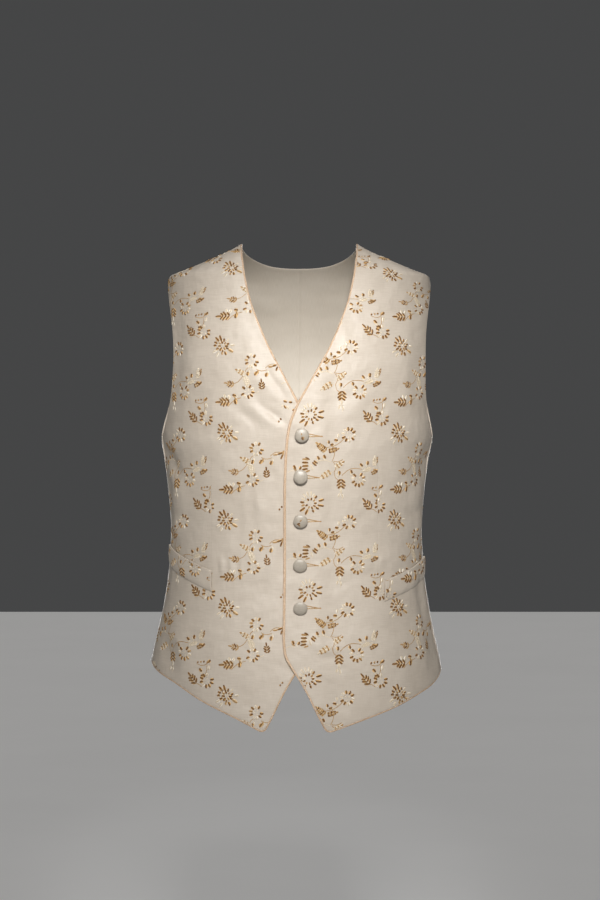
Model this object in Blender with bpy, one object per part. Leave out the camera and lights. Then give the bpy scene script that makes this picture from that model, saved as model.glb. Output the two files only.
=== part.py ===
"""A man's embroidered waistcoat, filled out as it is when worn, with nobody in it.

It is single-breasted, with a V neck, five covered buttons, two welt pockets, a pointed front hem and a
satin piping round the neck, the front edges and the front hem. Left and right are the wearer's: the
wearer's left side is at +X, and its front laps over the other one. The front faces -Y and +Z is up. The
origin lies midway between the shoulders, at the height of the shoulder seams. All lengths are in metres.

Every cloth panel is laid out on a body form. The form is a stack of level rings, and a place on it is
written as (along, height): along is the length of cloth round the ring, from the centre front for the
fronts and from the centre back for the backs.
"""

import math
from collections import namedtuple
from functools import lru_cache

import bmesh
import bpy
import numpy as np

# Cloth and seams
FRONT_WALL = 0.0024  # silk, canvas and lining together
BACK_WALL = 0.0016
SEAM_GAP = 0.0004
LAP_AIR = 0.0016  # between the two fronts where they lap
LAP_FULL = 0.024  # the upper front is clear of the lower one up to this far from the centre
LAP_END = 0.052  # and lies down on the body form from here on

# Piping: its radius at some heights. It is thinner round the neck and along the hem than down the front.
PIPING_HEIGHTS = (-0.570, -0.535, -0.215, -0.165)
PIPING_RADII = (0.0014, 0.0020, 0.0020, 0.0014)
PIPING_GAP = 0.0003

# Buttons
Button = namedtuple("Button", "height from_centre tilt")
BUTTONS = [
    Button(-0.2421, 0.0034, math.radians(8)),
    Button(-0.2966, 0.0017, math.radians(6)),
    Button(-0.3547, 0.0017, math.radians(20)),
    Button(-0.4140, 0.0010, math.radians(24)),
    Button(-0.4707, 0.0014, math.radians(24)),
]
BUTTON_RADIUS = 0.0095
BUTTON_SIDES = 16
BUTTON_AIR = 0.0012  # from the cloth to the foot of the shank
SHANK_RADIUS = 0.0018
SHANK_LENGTH = 0.0026
BUTTON_PROFILE = [  # share of the radius, and height above the shank's foot, from the back to the front
    (0.86, 0.0029),
    (1.0, 0.0043),
    (0.93, 0.0058),
    (0.66, 0.0072),
    (0.34, 0.0079),
    (0.0, 0.0082),
]

# Pocket welts
WELT_WALL = 0.0020
WELT_AIR = 0.0005
WELT_HEIGHT = 0.0285
WELT_LENGTH = 0.090
WELT_GAPE = 0.0014  # by which the pocket mouth stands away at its outer end
WELT_GAPE_INNER = 0.25  # share of that at its inner end

# The body form. lean is how far the middle of a ring lies from x = 0.
Ring = namedtuple("Ring", "height half_width front_depth back_depth lean")
RINGS = [
    Ring(0.026, 0.0745, 0.054, 0.056, 0.0),
    Ring(0.022, 0.0805, 0.058, 0.062, 0.0),
    Ring(0.013, 0.096, 0.064, 0.072, 0.0),
    Ring(0.000, 0.125, 0.072, 0.085, 0.0),
    Ring(-0.012, 0.153, 0.078, 0.093, 0.0),
    Ring(-0.024, 0.1795, 0.083, 0.098, 0.0),
    Ring(-0.045, 0.183, 0.091, 0.104, 0.0),
    Ring(-0.080, 0.1855, 0.104, 0.111, 0.0),
    Ring(-0.130, 0.186, 0.117, 0.117, 0.0),
    Ring(-0.180, 0.185, 0.124, 0.118, -0.001),
    Ring(-0.243, 0.187, 0.125, 0.114, -0.003),
    Ring(-0.275, 0.182, 0.1235, 0.109, -0.004),
    Ring(-0.320, 0.1765, 0.119, 0.101, -0.004),
    Ring(-0.370, 0.173, 0.1135, 0.095, -0.004),
    Ring(-0.420, 0.1755, 0.111, 0.097, -0.004),
    Ring(-0.470, 0.182, 0.1115, 0.106, -0.0042),
    Ring(-0.520, 0.1925, 0.1125, 0.115, -0.005),
    Ring(-0.560, 0.201, 0.113, 0.120, -0.005),
    Ring(-0.650, 0.214, 0.111, 0.124, -0.005),
]
ROUNDNESS = 2.3  # 2 would make every ring an ellipse; more squares it
RING_SAMPLES = 420
PAST_CENTRE = math.radians(-32)  # a ring's line starts this far across the centre
NORMAL_REACH = 0.002  # the outward direction is taken from points this far away

# The line of the piping on either front, from the side of the neck down to the foot of the front edge
Edge = namedtuple("Edge", "height from_centre")
NECK_POINT = 0.022
NECK_AND_FRONT = [
    Edge(0.0195, 0.0800),
    Edge(0.0130, 0.0794),
    Edge(0.000, 0.0782),
    Edge(-0.030, 0.0735),
    Edge(-0.060, 0.0665),
    Edge(-0.090, 0.0560),
    Edge(-0.125, 0.0410),
    Edge(-0.160, 0.0222),
    Edge(-0.185, 0.0085),
    Edge(-0.198, 0.0015),
    Edge(-0.210, -0.0035),
    Edge(-0.224, -0.0085),
    Edge(-0.240, -0.0116),
    Edge(-0.262, -0.0131),
    Edge(-0.300, -0.0146),
    Edge(-0.400, -0.0151),
    Edge(-0.500, -0.0153),
    Edge(-0.522, -0.0149),
    Edge(-0.536, -0.0128),
    Edge(-0.550, -0.0058),
    Edge(-0.566, 0.0045),
    Edge(-0.590, 0.0180),
    Edge(-0.615, 0.0300),
]
HEM_POINT = Edge(-0.639, 0.0425)
HEM_POINT_ROUND = 0.008
CHEST = -0.222  # rows of cloth below this run to the side seam, and above it to the armhole
FOOT = -0.512  # the foot of the front edge

# The hem from the point to the side seam, whose height is side_hem
HEM_LEFT = [Edge(-0.6245, 0.084), Edge(-0.6035, 0.140), Edge(-0.590, 0.167), Edge(-0.5765, 0.190)]
HEM_RIGHT = [Edge(-0.6215, 0.076), Edge(-0.5965, 0.128), Edge(-0.577, 0.160), Edge(-0.5630, 0.186)]

# Armholes, as seen from the side, from the side seam to the shoulder seam. depth is in front of the
# middle on a front and behind it on a back. The side seam lies in front of the middle.
Armhole = namedtuple("Armhole", "height depth")
SHOULDER_TIP = -0.024
UNDERARM = -0.2435
SIDE_SEAM_DEPTH = 0.022
ARMHOLES = {
    "front": [
        Armhole(-0.2405, 0.0300),
        Armhole(-0.2325, 0.0385),
        Armhole(-0.218, 0.0455),
        Armhole(-0.195, 0.0515),
        Armhole(-0.165, 0.0545),
        Armhole(-0.132, 0.0540),
        Armhole(-0.100, 0.0485),
        Armhole(-0.070, 0.0375),
        Armhole(-0.043, 0.0205),
        Armhole(-0.030, 0.0085),
    ],
    "back": [
        Armhole(-0.2425, -0.0120),
        Armhole(-0.2385, 0.0000),
        Armhole(-0.231, 0.0115),
        Armhole(-0.219, 0.0230),
        Armhole(-0.200, 0.0340),
        Armhole(-0.178, 0.0425),
        Armhole(-0.152, 0.0470),
        Armhole(-0.126, 0.0470),
        Armhole(-0.100, 0.0430),
        Armhole(-0.070, 0.0340),
        Armhole(-0.043, 0.0190),
        Armhole(-0.030, 0.0080),
    ],
}

# The back's neck line, from the middle of the back to the side of the neck
NAPE = -0.004
BACK_NECK = [
    Edge(-0.0035, 0.020),
    Edge(-0.0005, 0.043),
    Edge(0.006, 0.062),
    Edge(0.0135, 0.0745),
    Edge(0.0192, 0.0795),
]
BACK_HEM = -0.566

# Soft folds: a ridge (or with a negative rise a trough) from one place to another, fading at its ends as
# half a wave does that starts and stops a little way in
FOLD_START = 0.08
Fold = namedtuple("Fold", "panel along height to_along to_height half_width rise")
FOLDS = [
    Fold("front_right", 0.228, -0.255, 0.165, -0.298, 0.0100, -0.0055),
    Fold("front_right", 0.171, -0.289, 0.187, -0.385, 0.0140, 0.0042),
    Fold("front_right", 0.092, -0.195, 0.014, -0.229, 0.0090, 0.0030),
    Fold("front_right", 0.073, -0.142, 0.038, -0.176, 0.0090, 0.0024),
    Fold("front_right", 0.101, -0.030, 0.073, -0.050, 0.0090, 0.0020),
    Fold("front_right", 0.127, -0.407, 0.087, -0.423, 0.0100, 0.0026),
    Fold("front_right", 0.195, -0.515, 0.170, -0.566, 0.0110, -0.0042),
    Fold("front_right", 0.172, -0.500, 0.148, -0.560, 0.0120, 0.0030),
    Fold("front_left", 0.222, -0.262, 0.178, -0.305, 0.0110, -0.0040),
    Fold("front_left", 0.186, -0.300, 0.195, -0.388, 0.0140, 0.0034),
    Fold("front_left", 0.095, -0.190, 0.040, -0.235, 0.0100, 0.0020),
    Fold("front_left", 0.105, -0.032, 0.075, -0.052, 0.0090, 0.0016),
    Fold("front_left", 0.089, -0.405, 0.147, -0.420, 0.0110, 0.0026),
    Fold("front_left", 0.040, -0.517, 0.072, -0.530, 0.0085, 0.0018),
    Fold("front_left", 0.214, -0.500, 0.206, -0.566, 0.0110, -0.0034),
    Fold("back_right", 0.070, -0.300, 0.060, -0.430, 0.0140, 0.0042),
    Fold("back_right", 0.030, -0.330, 0.034, -0.455, 0.0130, -0.0034),
    Fold("back_right", 0.160, -0.255, 0.110, -0.400, 0.0140, -0.0044),
    Fold("back_left", 0.064, -0.310, 0.072, -0.440, 0.0140, 0.0040),
    Fold("back_left", 0.028, -0.300, 0.030, -0.420, 0.0130, -0.0034),
    Fold("back_left", 0.166, -0.262, 0.118, -0.390, 0.0140, -0.0040),
]

# Panels. side is +1 for the wearer's left.
Panel = namedtuple("Panel", "name side face laps hem side_hem wall")
PANELS = [
    Panel("front_right", -1, "front", False, HEM_RIGHT, -0.552, FRONT_WALL),
    Panel("front_left", 1, "front", True, HEM_LEFT, -0.563, FRONT_WALL),
    Panel("back_right", -1, "back", False, None, -0.552, BACK_WALL),
    Panel("back_left", 1, "back", False, None, -0.563, BACK_WALL),
]
UPPER_FRONT = PANELS[1]

# The upper inner corner of each welt, and how much it rises outwards for each unit of length
Welt = namedtuple("Welt", "along height rise")
WELTS = {"front_right": Welt(0.1157, -0.4235, 0.36), "front_left": Welt(0.1212, -0.4370, 0.33)}

# Rows and columns of each panel
LOW_ROWS = 15
HIGH_ROWS = 15
DIAGONAL_COLUMNS = 8
HEM_COLUMNS = 10
NECK_COLUMNS = 7
SHOULDER_COLUMNS = 9
BEND_WEIGHT = 0.10  # metres of length that one radian of bend counts for when an edge is divided
EDGE_FADE = 5  # the higher, the sooner the shape of the hem and of the shoulder fades from row to row
SHARP_ANGLE = math.radians(40)
MERGE_DISTANCE = 1e-5

# Colours and roughnesses
IVORY_SILK = ((0.72, 0.65, 0.55, 1.0), 0.45)
IVORY_SATIN = ((0.70, 0.62, 0.50, 1.0), 0.35)
GOLD_PIPING = ((0.76, 0.53, 0.30, 1.0), 0.35)
BUTTON_SILK = ((0.66, 0.60, 0.50, 1.0), 0.45)


def through(at, places, values):
    """A smooth value that passes through the given ones and never overshoots them."""
    places, values = np.asarray(places, float), np.asarray(values, float)
    steps = np.diff(places)
    rates = np.diff(values) / steps
    slopes = np.concatenate([rates[:1], np.zeros(len(rates) - 1), rates[-1:]])
    same_way = rates[:-1] * rates[1:] > 0
    both = np.where(same_way, rates[:-1] + rates[1:], 1.0)
    slopes[1:-1] = np.where(same_way, 2 * rates[:-1] * rates[1:] / both, 0.0)
    span = np.clip(np.searchsorted(places, at) - 1, 0, len(steps) - 1)
    step = steps[span]
    share = np.clip((at - places[span]) / step, 0, 1)
    rest = 1 - share
    return (
        values[span] * rest * rest * (1 + 2 * share)
        + values[span + 1] * share * share * (1 + 2 * rest)
        + (slopes[span] * rest - slopes[span + 1] * share) * step * share * rest
    )


RING_HEIGHTS = [ring.height for ring in reversed(RINGS)]


@lru_cache(maxsize=None)
def ring_value(column, height):
    return float(through(height, RING_HEIGHTS, [getattr(ring, column) for ring in reversed(RINGS)]))


@lru_cache(maxsize=None)
def ring_line(height, face):
    """(length along the cloth, x, y) of half a ring, from the centre of one face to the other's."""
    near, far = ring_value("front_depth", height), ring_value("back_depth", height)
    outward = -1.0
    if face == "back":
        near, far, outward = far, near, 1.0
    turn = np.linspace(PAST_CENTRE, math.pi, RING_SAMPLES)
    power = 2 / ROUNDNESS
    x = ring_value("half_width", height) * np.sign(np.sin(turn)) * np.abs(np.sin(turn)) ** power
    depth = np.where(turn < math.pi / 2, near, -far)
    y = outward * depth * np.abs(np.cos(turn)) ** power
    length = np.concatenate([[0.0], np.cumsum(np.hypot(np.diff(x), np.diff(y)))])
    return length - np.interp(0.0, turn, length), x, y


def along_at_x(height, from_centre, face="front"):
    length, x, _ = ring_line(height, face)
    rising = slice(0, int(np.argmax(x)) + 1)
    return float(np.interp(from_centre, x[rising], length[rising]))


def along_at_depth(height, depth, face):
    """Where a ring is this far in front of the seams, on a front, or behind them, on a back."""
    length, _, y = ring_line(height, face)
    facing = y if face == "back" else -y
    start = int(np.argmax(facing))
    return float(np.interp(-depth, -facing[start:], length[start:]))


def on_form(panel, along, height):
    """A place on the body form, for the panel's own side."""
    length, x, y = ring_line(height, panel.face)
    across = np.interp(along, length, x)
    lean = ring_value("lean", height)
    return np.array([panel.side * across + lean, np.interp(along, length, y), height])


def outward_at(panel, along, height):
    """The form's outward direction, from points close by on all four sides."""
    reach = NORMAL_REACH
    across = on_form(panel, along + reach, height) - on_form(panel, along - reach, height)
    up = on_form(panel, along, height + reach) - on_form(panel, along, height - reach)
    normal = np.cross(across, up) * panel.side * (1 if panel.face == "front" else -1)
    return normal / np.linalg.norm(normal)


def fold_relief(panel, along, height):
    total = 0.0
    for fold in FOLDS:
        if fold.panel != panel.name:
            continue
        start = np.array([fold.along, fold.height])
        run = np.array([fold.to_along, fold.to_height]) - start
        place = np.array([along, height]) - start
        share = float(np.clip(place @ run / (run @ run), 0, 1))
        away = np.linalg.norm(place - share * run) / fold.half_width
        wave = math.pi * (FOLD_START + (1 - 2 * FOLD_START) * share)
        total += fold.rise * math.exp(-away * away / 2) * math.sin(wave)
    return total


def lap_lift(panel, along):
    """How far the upper front stands off the form, so that the lower one fits under it."""
    if not panel.laps:
        return 0.0
    share = min(max((LAP_END - along) / (LAP_END - LAP_FULL), 0.0), 1.0)
    return (FRONT_WALL + LAP_AIR) * share * share * (3 - 2 * share)


def on_cloth(panel, place, depth=0.0):
    """A point on the panel's outer side, or this far inside it."""
    along, height = place
    out = fold_relief(panel, along, height) + lap_lift(panel, along) - depth
    return on_form(panel, along, height) + outward_at(panel, along, height) * out


def spline(points, per_span=14):
    """A close line of places through the given ones, without corners."""
    points = np.asarray(points, float)
    knots = np.concatenate([[0.0], np.cumsum(np.linalg.norm(np.diff(points, axis=0), axis=1))])
    rates = np.diff(points, axis=0) / np.diff(knots)[:, None]
    spans = np.diff(knots)[:, None]
    middle = (rates[:-1] * spans[1:] + rates[1:] * spans[:-1]) / (spans[:-1] + spans[1:])
    slopes = np.concatenate([rates[:1], middle, rates[-1:]])
    line = [points[0]]
    for i in range(len(points) - 1):
        for share in np.linspace(0, 1, per_span + 1)[1:]:
            rest = 1 - share
            line.append(
                points[i] * rest * rest * (1 + 2 * share)
                + points[i + 1] * share * share * (1 + 2 * rest)
                + (slopes[i] * rest - slopes[i + 1] * share) * spans[i] * share * rest
            )
    return np.array(line)


def rounded(first, second, radius, steps=10):
    """Two lines that meet at a corner, joined by a curve that starts and ends this far from it."""
    corner = first[-1]
    first = first[np.linalg.norm(first - corner, axis=1) > radius]
    second = second[np.linalg.norm(second - corner, axis=1) > radius]
    start, end = first[-1], second[0]
    share = np.linspace(0, 1, steps + 1)[1:-1, None]
    curve = start * (1 - share) ** 2 + 2 * corner * share * (1 - share) + end * share**2
    return np.concatenate([first, curve, second])


def inset(line, steps):
    """The line moved sideways by these steps, to the left of its way."""
    way = np.gradient(line, axis=0)
    way /= np.linalg.norm(way, axis=1)[:, None]
    return line + np.stack([-way[:, 1], way[:, 0]], axis=1) * steps[:, None]


def piping_radius(heights):
    return np.interp(heights, PIPING_HEIGHTS, PIPING_RADII)


def divide(line, parts):
    """Indices that divide a line into parts, closer together where it bends."""
    way = np.diff(line, axis=0)
    lengths = np.linalg.norm(way, axis=1)
    angles = np.unwrap(np.arctan2(way[:, 1], way[:, 0]))
    bends = np.concatenate([[0.0], np.abs(np.diff(angles))])
    measure = np.concatenate([[0.0], np.cumsum(lengths + BEND_WEIGHT * bends)])
    wanted = np.linspace(0, measure[-1], parts + 1)
    return [int(np.argmin(np.abs(measure - value))) for value in wanted]


def places_of(edges, face="front"):
    return [(along_at_x(edge.height, edge.from_centre, face), edge.height) for edge in edges]


def seam_place(panel, height):
    """Where the panel ends at the side seam or, above the armhole, at the shoulder seam."""
    depth = SIDE_SEAM_DEPTH if height <= UNDERARM else 0.0
    if panel.face == "back":
        depth = -depth
    return along_at_depth(height, depth + SEAM_GAP / 2, panel.face), height


def shoulder_heights(parts, samples=200):
    """Heights that divide the shoulder seam, closer together where it bends."""
    heights = np.linspace(NECK_POINT, SHOULDER_TIP, samples)
    seam = np.array([(ring_value("half_width", height), height) for height in heights])
    return [heights[i] for i in divide(seam, parts)]


def front_outline(panel):
    """The piping's line on a front, from the neck point to the side seam, and the cloth's edge inside it."""
    down = spline([seam_place(panel, NECK_POINT)] + places_of(NECK_AND_FRONT + [HEM_POINT]))
    hem = spline(places_of([HEM_POINT] + panel.hem) + [seam_place(panel, panel.side_hem)])
    line = rounded(down, hem, HEM_POINT_ROUND)
    return line, inset(line, piping_radius(line[:, 1]) + PIPING_GAP)


def first_below(line, height):
    return int(np.argmax(line[:, 1] < height))


def front_stations(line):
    """Indices of the stations on a front's outline: down to the chest, down to the foot, and the hem."""
    chest, foot = first_below(line, CHEST), first_below(line, FOOT)
    point = int(np.argmin(line[:, 1]))
    high = divide(line[: chest + 1], HIGH_ROWS)
    low = [chest + i for i in divide(line[chest : foot + 1], LOW_ROWS)]
    diagonal = [foot + i for i in divide(line[foot : point + 1], DIAGONAL_COLUMNS)]
    hem = [point + i for i in divide(line[point:], HEM_COLUMNS)]
    return high, low, diagonal + hem[1:]


def armhole_line(panel):
    rows = [seam_place(panel, UNDERARM)]
    for row in ARMHOLES[panel.face]:
        rows.append((along_at_depth(row.height, row.depth, panel.face), row.height))
    return spline(rows + [seam_place(panel, SHOULDER_TIP)])


def side_edge(panel, hem_height):
    """The panel's outer edge, from the hem up the side seam and round the armhole."""
    heights = np.linspace(hem_height, UNDERARM, LOW_ROWS + 1)
    seam = np.array([seam_place(panel, height) for height in heights])
    armhole = armhole_line(panel)
    return np.concatenate([seam, armhole[divide(armhole, HIGH_ROWS)][1:]])


def filled(left, right, bottom, top):
    """Rows of places between four edges. The bottom and the top only shape the rows next to them."""
    rows, columns = len(left), len(bottom)
    across = np.linspace(0, 1, columns)[:, None]
    bottom_bow = bottom - ((1 - across) * bottom[0] + across * bottom[-1])
    top_bow = top - ((1 - across) * top[0] + across * top[-1])
    grid = []
    for i in range(rows):
        up = i / (rows - 1)
        straight = (1 - across) * left[i] + across * right[i]
        grid.append(straight + bottom_bow * (1 - up) ** EDGE_FADE + top_bow * up**EDGE_FADE)
    return np.array(grid)


def front_grid(panel):
    line, edge = front_outline(panel)
    high, low, foot = front_stations(line)
    left = np.concatenate([edge[low][::-1], edge[high][::-1][1:]])
    left[-1] = seam_place(panel, left[-1][1])
    bottom = edge[foot]
    bottom[-1] = seam_place(panel, bottom[-1][1])
    right = side_edge(panel, bottom[-1][1])
    heights = shoulder_heights(DIAGONAL_COLUMNS + HEM_COLUMNS)
    heights[0] = left[-1][1]
    top = np.array([seam_place(panel, height) for height in heights])
    return filled(left, right, bottom, top)


def back_grid(panel):
    middle = SEAM_GAP / 2
    hem_end = seam_place(panel, panel.side_hem)
    across = np.linspace(0, 1, NECK_COLUMNS + SHOULDER_COLUMNS + 1)
    bottom = np.stack([hem_end[0] * across, BACK_HEM + (panel.side_hem - BACK_HEM) * across**2], axis=1)
    bottom[0, 0] = middle
    neck = spline([(middle, NAPE)] + places_of(BACK_NECK, "back") + [seam_place(panel, NECK_POINT)])
    seam = np.array([seam_place(panel, height) for height in shoulder_heights(SHOULDER_COLUMNS)[1:]])
    top = np.concatenate([neck[divide(neck, NECK_COLUMNS)], seam])
    left = np.array([(middle, height) for height in np.linspace(BACK_HEM, NAPE, LOW_ROWS + HIGH_ROWS + 1)])
    return filled(left, side_edge(panel, panel.side_hem), bottom, top)


def material(name, look):
    colour, roughness = look
    made = bpy.data.materials.new(name)
    made.use_nodes = True
    shader = made.node_tree.nodes["Principled BSDF"]
    shader.inputs["Base Color"].default_value = colour
    shader.inputs["Roughness"].default_value = roughness
    shader.inputs["Metallic"].default_value = 0.0
    return made


def place_object(name, data, look):
    data.materials.append(material(name, look))
    made = bpy.data.objects.new(name, data)
    bpy.context.scene.collection.objects.link(made)
    return made


def wall_object(name, outer, inner, look):
    """A closed wall between two grids of points, one section of the wall for each row."""
    rows, columns = outer.shape[:2]
    bm = bmesh.new()
    sections = []
    for i in range(rows):
        points = list(outer[i]) + list(inner[i][::-1])
        sections.append([bm.verts.new(point) for point in points])
    around = 2 * columns
    for lower, upper in zip(sections, sections[1:]):
        for j in range(around):
            k = (j + 1) % around
            bm.faces.new((lower[j], lower[k], upper[k], upper[j]))
    for section in (sections[0], sections[-1]):
        for j in range(columns - 1):
            bm.faces.new((section[j], section[j + 1], section[around - 2 - j], section[around - 1 - j]))
    bmesh.ops.recalc_face_normals(bm, faces=bm.faces)
    mesh = bpy.data.meshes.new(name)
    bm.to_mesh(mesh)
    bm.free()
    mesh.shade_smooth()
    mesh.set_sharp_from_angle(angle=SHARP_ANGLE)
    return place_object(name, mesh, look)


def cloth_panel(panel):
    grid = front_grid(panel) if panel.face == "front" else back_grid(panel)
    outer = np.array([[on_cloth(panel, place) for place in row] for row in grid])
    inner = np.array([[on_cloth(panel, place, panel.wall) for place in row] for row in grid])
    look = IVORY_SILK if panel.face == "front" else IVORY_SATIN
    wall_object(panel.name, outer, inner, look)


def piping(panel):
    """A round cord along the neck, the front edge and the hem, at the same stations as the cloth's edge."""
    line, _ = front_outline(panel)
    high, low, foot = front_stations(line)
    stations = high + low[1:] + foot[1:]
    points = [on_cloth(panel, line[i], panel.wall / 2) for i in stations]
    curve = bpy.data.curves.new("piping_" + panel.name[6:], "CURVE")
    curve.dimensions = "3D"
    curve.bevel_depth = 1.0
    curve.bevel_resolution = 1
    curve.use_fill_caps = True
    cord = curve.splines.new("POLY")
    cord.points.add(len(points) - 1)
    for point, place, i in zip(cord.points, points, stations):
        point.co = (*place, 1.0)
        point.radius = float(piping_radius(line[i, 1]))
    place_object(curve.name, curve, GOLD_PIPING)


def welt(panel, columns=12, rows=3):
    """The band of cloth below a pocket's mouth, laid on the front and standing off it at its outer end."""
    corner = WELTS[panel.name]
    outer, inner = [], []
    for up in np.linspace(0, 1, rows + 1):
        outer_row, inner_row = [], []
        for out in np.linspace(0, 1, columns + 1):
            along = corner.along + WELT_LENGTH * out
            height = corner.height + corner.rise * WELT_LENGTH * out - WELT_HEIGHT * (1 - up)
            gape = WELT_GAPE * (WELT_GAPE_INNER + (1 - WELT_GAPE_INNER) * out)
            lift = WELT_AIR + gape * up * up
            outer_row.append(on_cloth(panel, (along, height), -lift - WELT_WALL))
            inner_row.append(on_cloth(panel, (along, height), -lift))
        outer.append(outer_row)
        inner.append(inner_row)
    wall_object("welt_" + panel.name[6:], np.array(outer), np.array(inner), IVORY_SILK)


def button(number):
    """A domed, cloth-covered button on its thread shank. It droops, with its face turned a little down."""
    place = BUTTONS[number]
    along = along_at_x(place.height, place.from_centre - ring_value("lean", place.height))
    foot = on_cloth(UPPER_FRONT, (along, place.height), -BUTTON_AIR)
    profile = [(0.0, 0.0), (SHANK_RADIUS, 0.0), (SHANK_RADIUS, SHANK_LENGTH)]
    profile += [(share * BUTTON_RADIUS, up) for share, up in BUTTON_PROFILE]
    bm = bmesh.new()
    verts = [bm.verts.new((radius, 0.0, up)) for radius, up in profile]
    edges = [bm.edges.new(pair) for pair in zip(verts, verts[1:])]
    bmesh.ops.spin(
        bm,
        geom=verts + edges,
        axis=(0, 0, 1),
        cent=(0, 0, 0),
        angle=2 * math.pi,
        steps=BUTTON_SIDES,
        use_merge=True,
    )
    bmesh.ops.remove_doubles(bm, verts=bm.verts, dist=MERGE_DISTANCE)
    bmesh.ops.recalc_face_normals(bm, faces=bm.faces)
    mesh = bpy.data.meshes.new(f"button_{number + 1}")
    bm.to_mesh(mesh)
    bm.free()
    mesh.shade_smooth()
    made = place_object(mesh.name, mesh, BUTTON_SILK)
    made.location = foot
    made.rotation_euler = (math.pi / 2 + place.tilt, 0.0, 0.0)


def main():
    for obj in list(bpy.data.objects):
        bpy.data.objects.remove(obj)
    for panel in PANELS:
        cloth_panel(panel)
        if panel.face == "front":
            piping(panel)
            welt(panel)
    for number in range(len(BUTTONS)):
        button(number)


main()
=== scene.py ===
"""The finished look of a man's embroidered waistcoat, filled out as it is when worn, with nobody in it.

Left and right are the wearer's: the wearer's left side is at +X, and its front laps over the other one.
The front faces -Y and +Z is up. Lengths are in metres, and the embroidery's chart is in millimetres.

Every piece of cloth is laid out on the body form, a stack of level rings. A place on it is written as
(along, height): along is the length of cloth round the ring, from the centre front for the fronts and
from the centre back for the backs.
"""

import math
from collections import namedtuple

import bmesh
import bpy
import numpy as np
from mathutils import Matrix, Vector


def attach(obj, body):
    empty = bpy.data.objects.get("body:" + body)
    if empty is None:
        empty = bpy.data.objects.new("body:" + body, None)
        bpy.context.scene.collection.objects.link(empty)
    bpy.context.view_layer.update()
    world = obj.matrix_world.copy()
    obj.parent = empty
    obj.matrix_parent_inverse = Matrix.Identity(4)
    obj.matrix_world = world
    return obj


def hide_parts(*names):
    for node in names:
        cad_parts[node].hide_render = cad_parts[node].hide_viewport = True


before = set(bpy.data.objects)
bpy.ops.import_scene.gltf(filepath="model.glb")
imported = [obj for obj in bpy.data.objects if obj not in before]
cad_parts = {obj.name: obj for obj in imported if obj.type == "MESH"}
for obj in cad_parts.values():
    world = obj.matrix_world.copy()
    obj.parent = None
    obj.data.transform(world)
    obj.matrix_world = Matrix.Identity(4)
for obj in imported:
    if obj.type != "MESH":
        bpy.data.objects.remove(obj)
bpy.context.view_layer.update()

# Cloth and seams
FRONT_WALL = 0.0024
BACK_WALL = 0.0016
SEAM_GAP = 0.0001
LAP_AIR = 0.0016
LAP_FULL = 0.024
LAP_END = 0.052
EDGE_ROUNDING = 0.0006

# Piping: its radius at some heights
PIPING_HEIGHTS = (-0.570, -0.535, -0.215, -0.165)
PIPING_RADII = (0.0014, 0.0020, 0.0020, 0.0014)
PIPING_SINK = 0.0004  # how far the edge of the cloth goes into it
PIPING_STATIONS = 620
PIPING_SIDES = 14
PIPING_FLATTENING = 0.88

# Buttons and buttonholes
Button = namedtuple("Button", "height from_centre tilt")
BUTTONS = [
    Button(-0.2421, 0.0034, math.radians(8)),
    Button(-0.2966, 0.0017, math.radians(6)),
    Button(-0.3547, 0.0017, math.radians(20)),
    Button(-0.4140, 0.0010, math.radians(24)),
    Button(-0.4707, 0.0014, math.radians(24)),
]
BUTTON_RADIUS = 0.0095
BUTTON_AIR = 0.0012
BUTTON_DOME = (0.0043, 0.0039)  # height of the rim above the shank's foot, and of the dome above the rim
BUTTON_SIDES = 56
BUTTON_RIM_STEPS = 6
BUTTON_DOME_STEPS = 16
BUTTON_BACK_RADIUS = 0.5 * BUTTON_RADIUS  # the flat of its back, where the rim's curve begins
BUTTON_BACK_HEIGHT = 0.0027
BUTTON_RIM_SHARE = 0.14  # of the radius, that the rim's curve takes up
BUTTON_RIM_DROP = 0.0014
SHANK_RADIUS = 0.0018
SHANK_LENGTH = 0.0026
BUTTONHOLE_REACH = 0.0245  # from the button's middle to the outer end of its hole
BUTTONHOLE_SLOPE = math.radians(-4)
BUTTONHOLE_PITCH = 0.0008  # from one stitch across the hole to the next
BUTTONHOLE_HALF_WIDTH = 0.0029  # at the button, and nothing at the outer end
BUTTONHOLE_CORD = (0.0034, 0.0016)  # length and width of a stitch along the hole's lips

# Pocket welts
WELT_WALL = 0.0020
WELT_AIR = 0.0005
WELT_HEIGHT = 0.0285
WELT_LENGTH = 0.090
WELT_GAPE = 0.0014
WELT_GAPE_INNER = 0.25  # share of that at its inner end
WELT_FULLNESS = 0.0006  # the folded band is this much thicker in its middle
WELT_SEAM_RISE = 0.0007  # the band's height above the front along its sewn lower edge
WELT_SEAM_SHARE = 0.3  # it reaches its thickness this far up

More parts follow.
